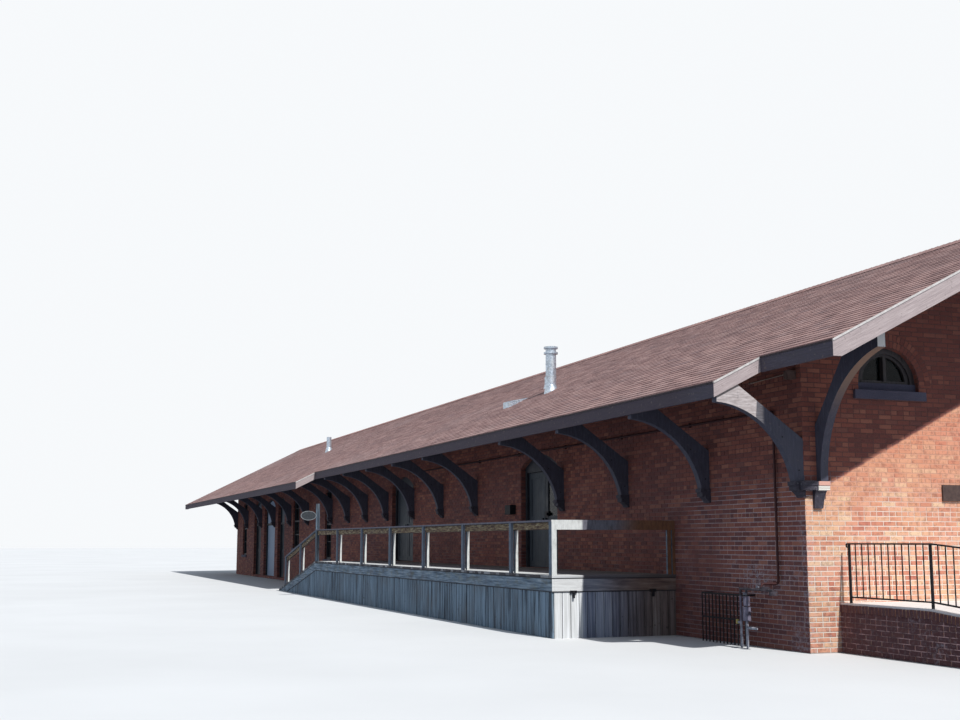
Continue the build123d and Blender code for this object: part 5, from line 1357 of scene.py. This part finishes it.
# Conduit from the lamp at the near corner
CONDUIT = ((11.275, -1.885, 1.905), (11.175, -1.881, 1.902), (10.737, -1.881, 1.889))
rods("eave_lamp_conduit", ((CONDUIT[1], CONDUIT[2]), (CONDUIT[0], CONDUIT[1])), 0.008, "conduit")

# Lock plate and handle of the first freight door
LOCK_LEVEL = 1.02
lay("lock_plate", [((6.80, -(LEAF_FACE + 0.002), LOCK_LEVEL), (0.10, 0.004, 0.06)),
                   ((6.84, -(LEAF_FACE + 0.012), LOCK_LEVEL), (0.02, 0.024, 0.03))],
    "black_iron", body="first_door_near_leaf")

# Hooks on the near end of the deck
DECK_HOOKS = ((-2.785, 0.352), (-2.088, 0.357))
hook_plates = [((DECK_NEAR + 0.003, y, z), (0.006, 0.058, 0.022)) for y, z in DECK_HOOKS]
hook_tips = [((DECK_NEAR + 0.009, y, z - 0.026), (0.014, 0.016, 0.044)) for y, z in DECK_HOOKS]
lay("deck_hooks", hook_plates + hook_tips, "black_iron")

# Valve handles of the gas set
GAS_Y = -2.035
lay("valve_handles", [((10.862, GAS_Y - 0.012, 0.376), (0.04, 0.01, 0.016)),
                      ((11.005, GAS_Y, 0.428), (0.03, 0.01, 0.012))], "grey_iron")
lay("yellow_handle", [((10.742, GAS_Y - 0.004, 0.178), (0.016, 0.016, 0.03))], "yellow_paint")

# Two bands on the flue
FLUE_X = 6.05
FLUE_Y = -1.41
BAND_RADIUS = 0.0585
BAND_SIZE = (0.0025, 0.0156, 0.008)


def flue_bands(steps=24):
    foot = roof_level(HALF_DEPTH + FLUE_Y)
    places = []
    for level in (foot + 0.16, foot + 0.3):
        for step in range(steps):
            angle = math.tau * (step + 0.5) / steps
            middle = (FLUE_X + BAND_RADIUS * math.cos(angle), FLUE_Y + BAND_RADIUS * math.sin(angle), level)
            places.append((middle, BAND_SIZE, (0, 0, angle)))
    return places


lay("flue_bands", flue_bands(), "zinc")

# Corbels under the brackets, in place of the plain ones: cap, slab and hollow body
CORBEL_WIDTH = 0.084
CORBEL_LAYERS = ((0.028, 0.088), (0.032, 0.076))
GABLE_CORBEL_LAYERS = ((0.028, 0.052), (0.032, 0.048))
GABLE_CORBEL_INNER = HALF_DEPTH - 0.172
GABLE_BODY_OUTER = 1.813
GABLE_BODY_LEVELS = ((1.0867, 0.042, 1.722), (1.070, 0.034, 1.726), (1.045, 0.026, 1.732),
                     (1.012, 0.022, 1.738), (0.963, 0.018, 1.743))
BUILDING_CORNERS = [(end, side) for end in (-1, 1) for side in (-1, 1)]


def corbel_places():
    """Caps and slabs of the corbels, at the corners too, and the hollow bodies along the long walls."""
    slabs, bodies = [], []
    for face in BRACKET_FACES:
        x = HALF_LENGTH - face - BRACKET_WIDTH / 2
        for side in (-1, 1):
            top = CORBEL_TOP
            for height, reach in CORBEL_LAYERS:
                slabs.append(((x, side * (HALF_DEPTH + reach / 2), top - height / 2),
                              (CORBEL_WIDTH, reach, height)))
                top -= height
            turn = STRAIGHT if side < 0 else (0, 0, math.pi)
            bodies.append(((x, side * (HALF_DEPTH + 0.031), top - 0.024), (CORBEL_WIDTH, 0.062, 0.048), turn))
    for end, side in BUILDING_CORNERS:
        top = GABLE_CORBEL_TOP
        for height, reach in GABLE_CORBEL_LAYERS:
            outer = HALF_DEPTH + 0.05 * reach / 0.052
            y = side * (outer + GABLE_CORBEL_INNER) / 2
            slabs.append(((end * (HALF_LENGTH + reach / 2), y, top - height / 2),
                          (reach, outer - GABLE_CORBEL_INNER, height)))
            top -= height
    return slabs, bodies


def gable_corbel_bodies():
    """Tall hollow bodies under the gable brackets, narrower towards the foot."""
    shells = []
    for end, side in BUILDING_CORNERS:
        rows = []
        for z, reach, inner in GABLE_BODY_LEVELS:
            wall, front = HALF_LENGTH - 0.004, HALF_LENGTH + reach
            section = ((wall, inner), (front, inner), (front, GABLE_BODY_OUTER), (wall, GABLE_BODY_OUTER))
            rows.append([(end * x, side * y, z) for x, y in section])
        shells.append(rows)
    return solid("gable_corbel_bodies", shells, "corbel")


slab_places, body_places = corbel_places()
corbel_slabs = lay("corbel_slabs", slab_places, "corbel")
corbel_bodies = lay("corbel_bodies", body_places, "corbel", 109, HOLLOW_BLOCK)
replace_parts(corbel_slabs, "bracket_corbels")
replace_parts(corbel_bodies, "bracket_corbels")
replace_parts(gable_corbel_bodies(), "bracket_corbels")

# Bolts through the knee brackets, each with its reach from the wall and its level
BRACKET_BOLTS = ((0.04, 1.22), (0.165, 1.445))


def bolt_ends():
    ends = []
    for face in BRACKET_FACES:
        for x in (HALF_LENGTH - face, HALF_LENGTH - face - BRACKET_WIDTH):
            for reach, level in BRACKET_BOLTS:
                for y in (-HALF_DEPTH - reach, HALF_DEPTH + reach):
                    ends.append(((x - 0.002, y, level), (x + 0.002, y, level)))
    return ends


rods("bracket_bolts", bolt_ends(), 0.012, "black_iron")

# Floor and light: a pale floor, a sun with a narrow angle and a cool world light
FLOOR_HALF = 150
FLOOR_LEVEL = -0.002
floor_mesh = bpy.data.meshes.new("studio_floor")
floor_corners = [(x * FLOOR_HALF, y * FLOOR_HALF, FLOOR_LEVEL)
                 for x, y in ((-1, -1), (1, -1), (1, 1), (-1, 1))]
floor_mesh.from_pydata(floor_corners, [], [(0, 1, 2, 3)])
studio_floor = bpy.data.objects.new("studio_floor", floor_mesh)
bpy.context.scene.collection.objects.link(studio_floor)
floor_finish = Finish("studio_floor")
seen_floor = floor_finish.tones(floor_finish.noise(0.4), (0.3, 216, 216, 214), (0.7, 224, 224, 222))
floor_tone = floor_finish.blend(floor_finish.node("ShaderNodeLightPath"), (140, 146, 156), seen_floor)
floor_mesh.materials.append(floor_finish.done(floor_tone, 0.9))

sun_data = bpy.data.lights.new("key_light", "SUN")
sun_data.energy = 3.8
sun_data.angle = math.radians(0.7)
sun = bpy.data.objects.new("key_light", sun_data)
sun.rotation_euler = Vector((0.622, 0.073, 0.780)).to_track_quat("Z", "Y").to_euler()
bpy.context.scene.collection.objects.link(sun)

world = bpy.data.worlds.new("studio")
world.use_nodes = True
bpy.context.scene.world = world
world.node_tree.nodes.clear()
sky = Graph(world.node_tree)
ray = sky.node("ShaderNodeLightPath")
seen = ray.larger(ray.sibling("Is Glossy Ray")).larger(ray.sibling("Is Transmission Ray"))
lighting = sky.node("ShaderNodeBackground", None, {"Color": (0.66, 0.81, 1.06, 1.0), "Strength": 0.36})
backdrop = sky.node("ShaderNodeBackground", None, {"Color": (0.93, 0.95, 0.97, 1.0), "Strength": 1.0})
mixed = sky.node("ShaderNodeMixShader", None, {0: seen, 1: lighting, 2: backdrop})
sky.node("ShaderNodeOutputWorld", None, {"Surface": mixed})
bpy.context.scene.view_settings.view_transform = "Standard"
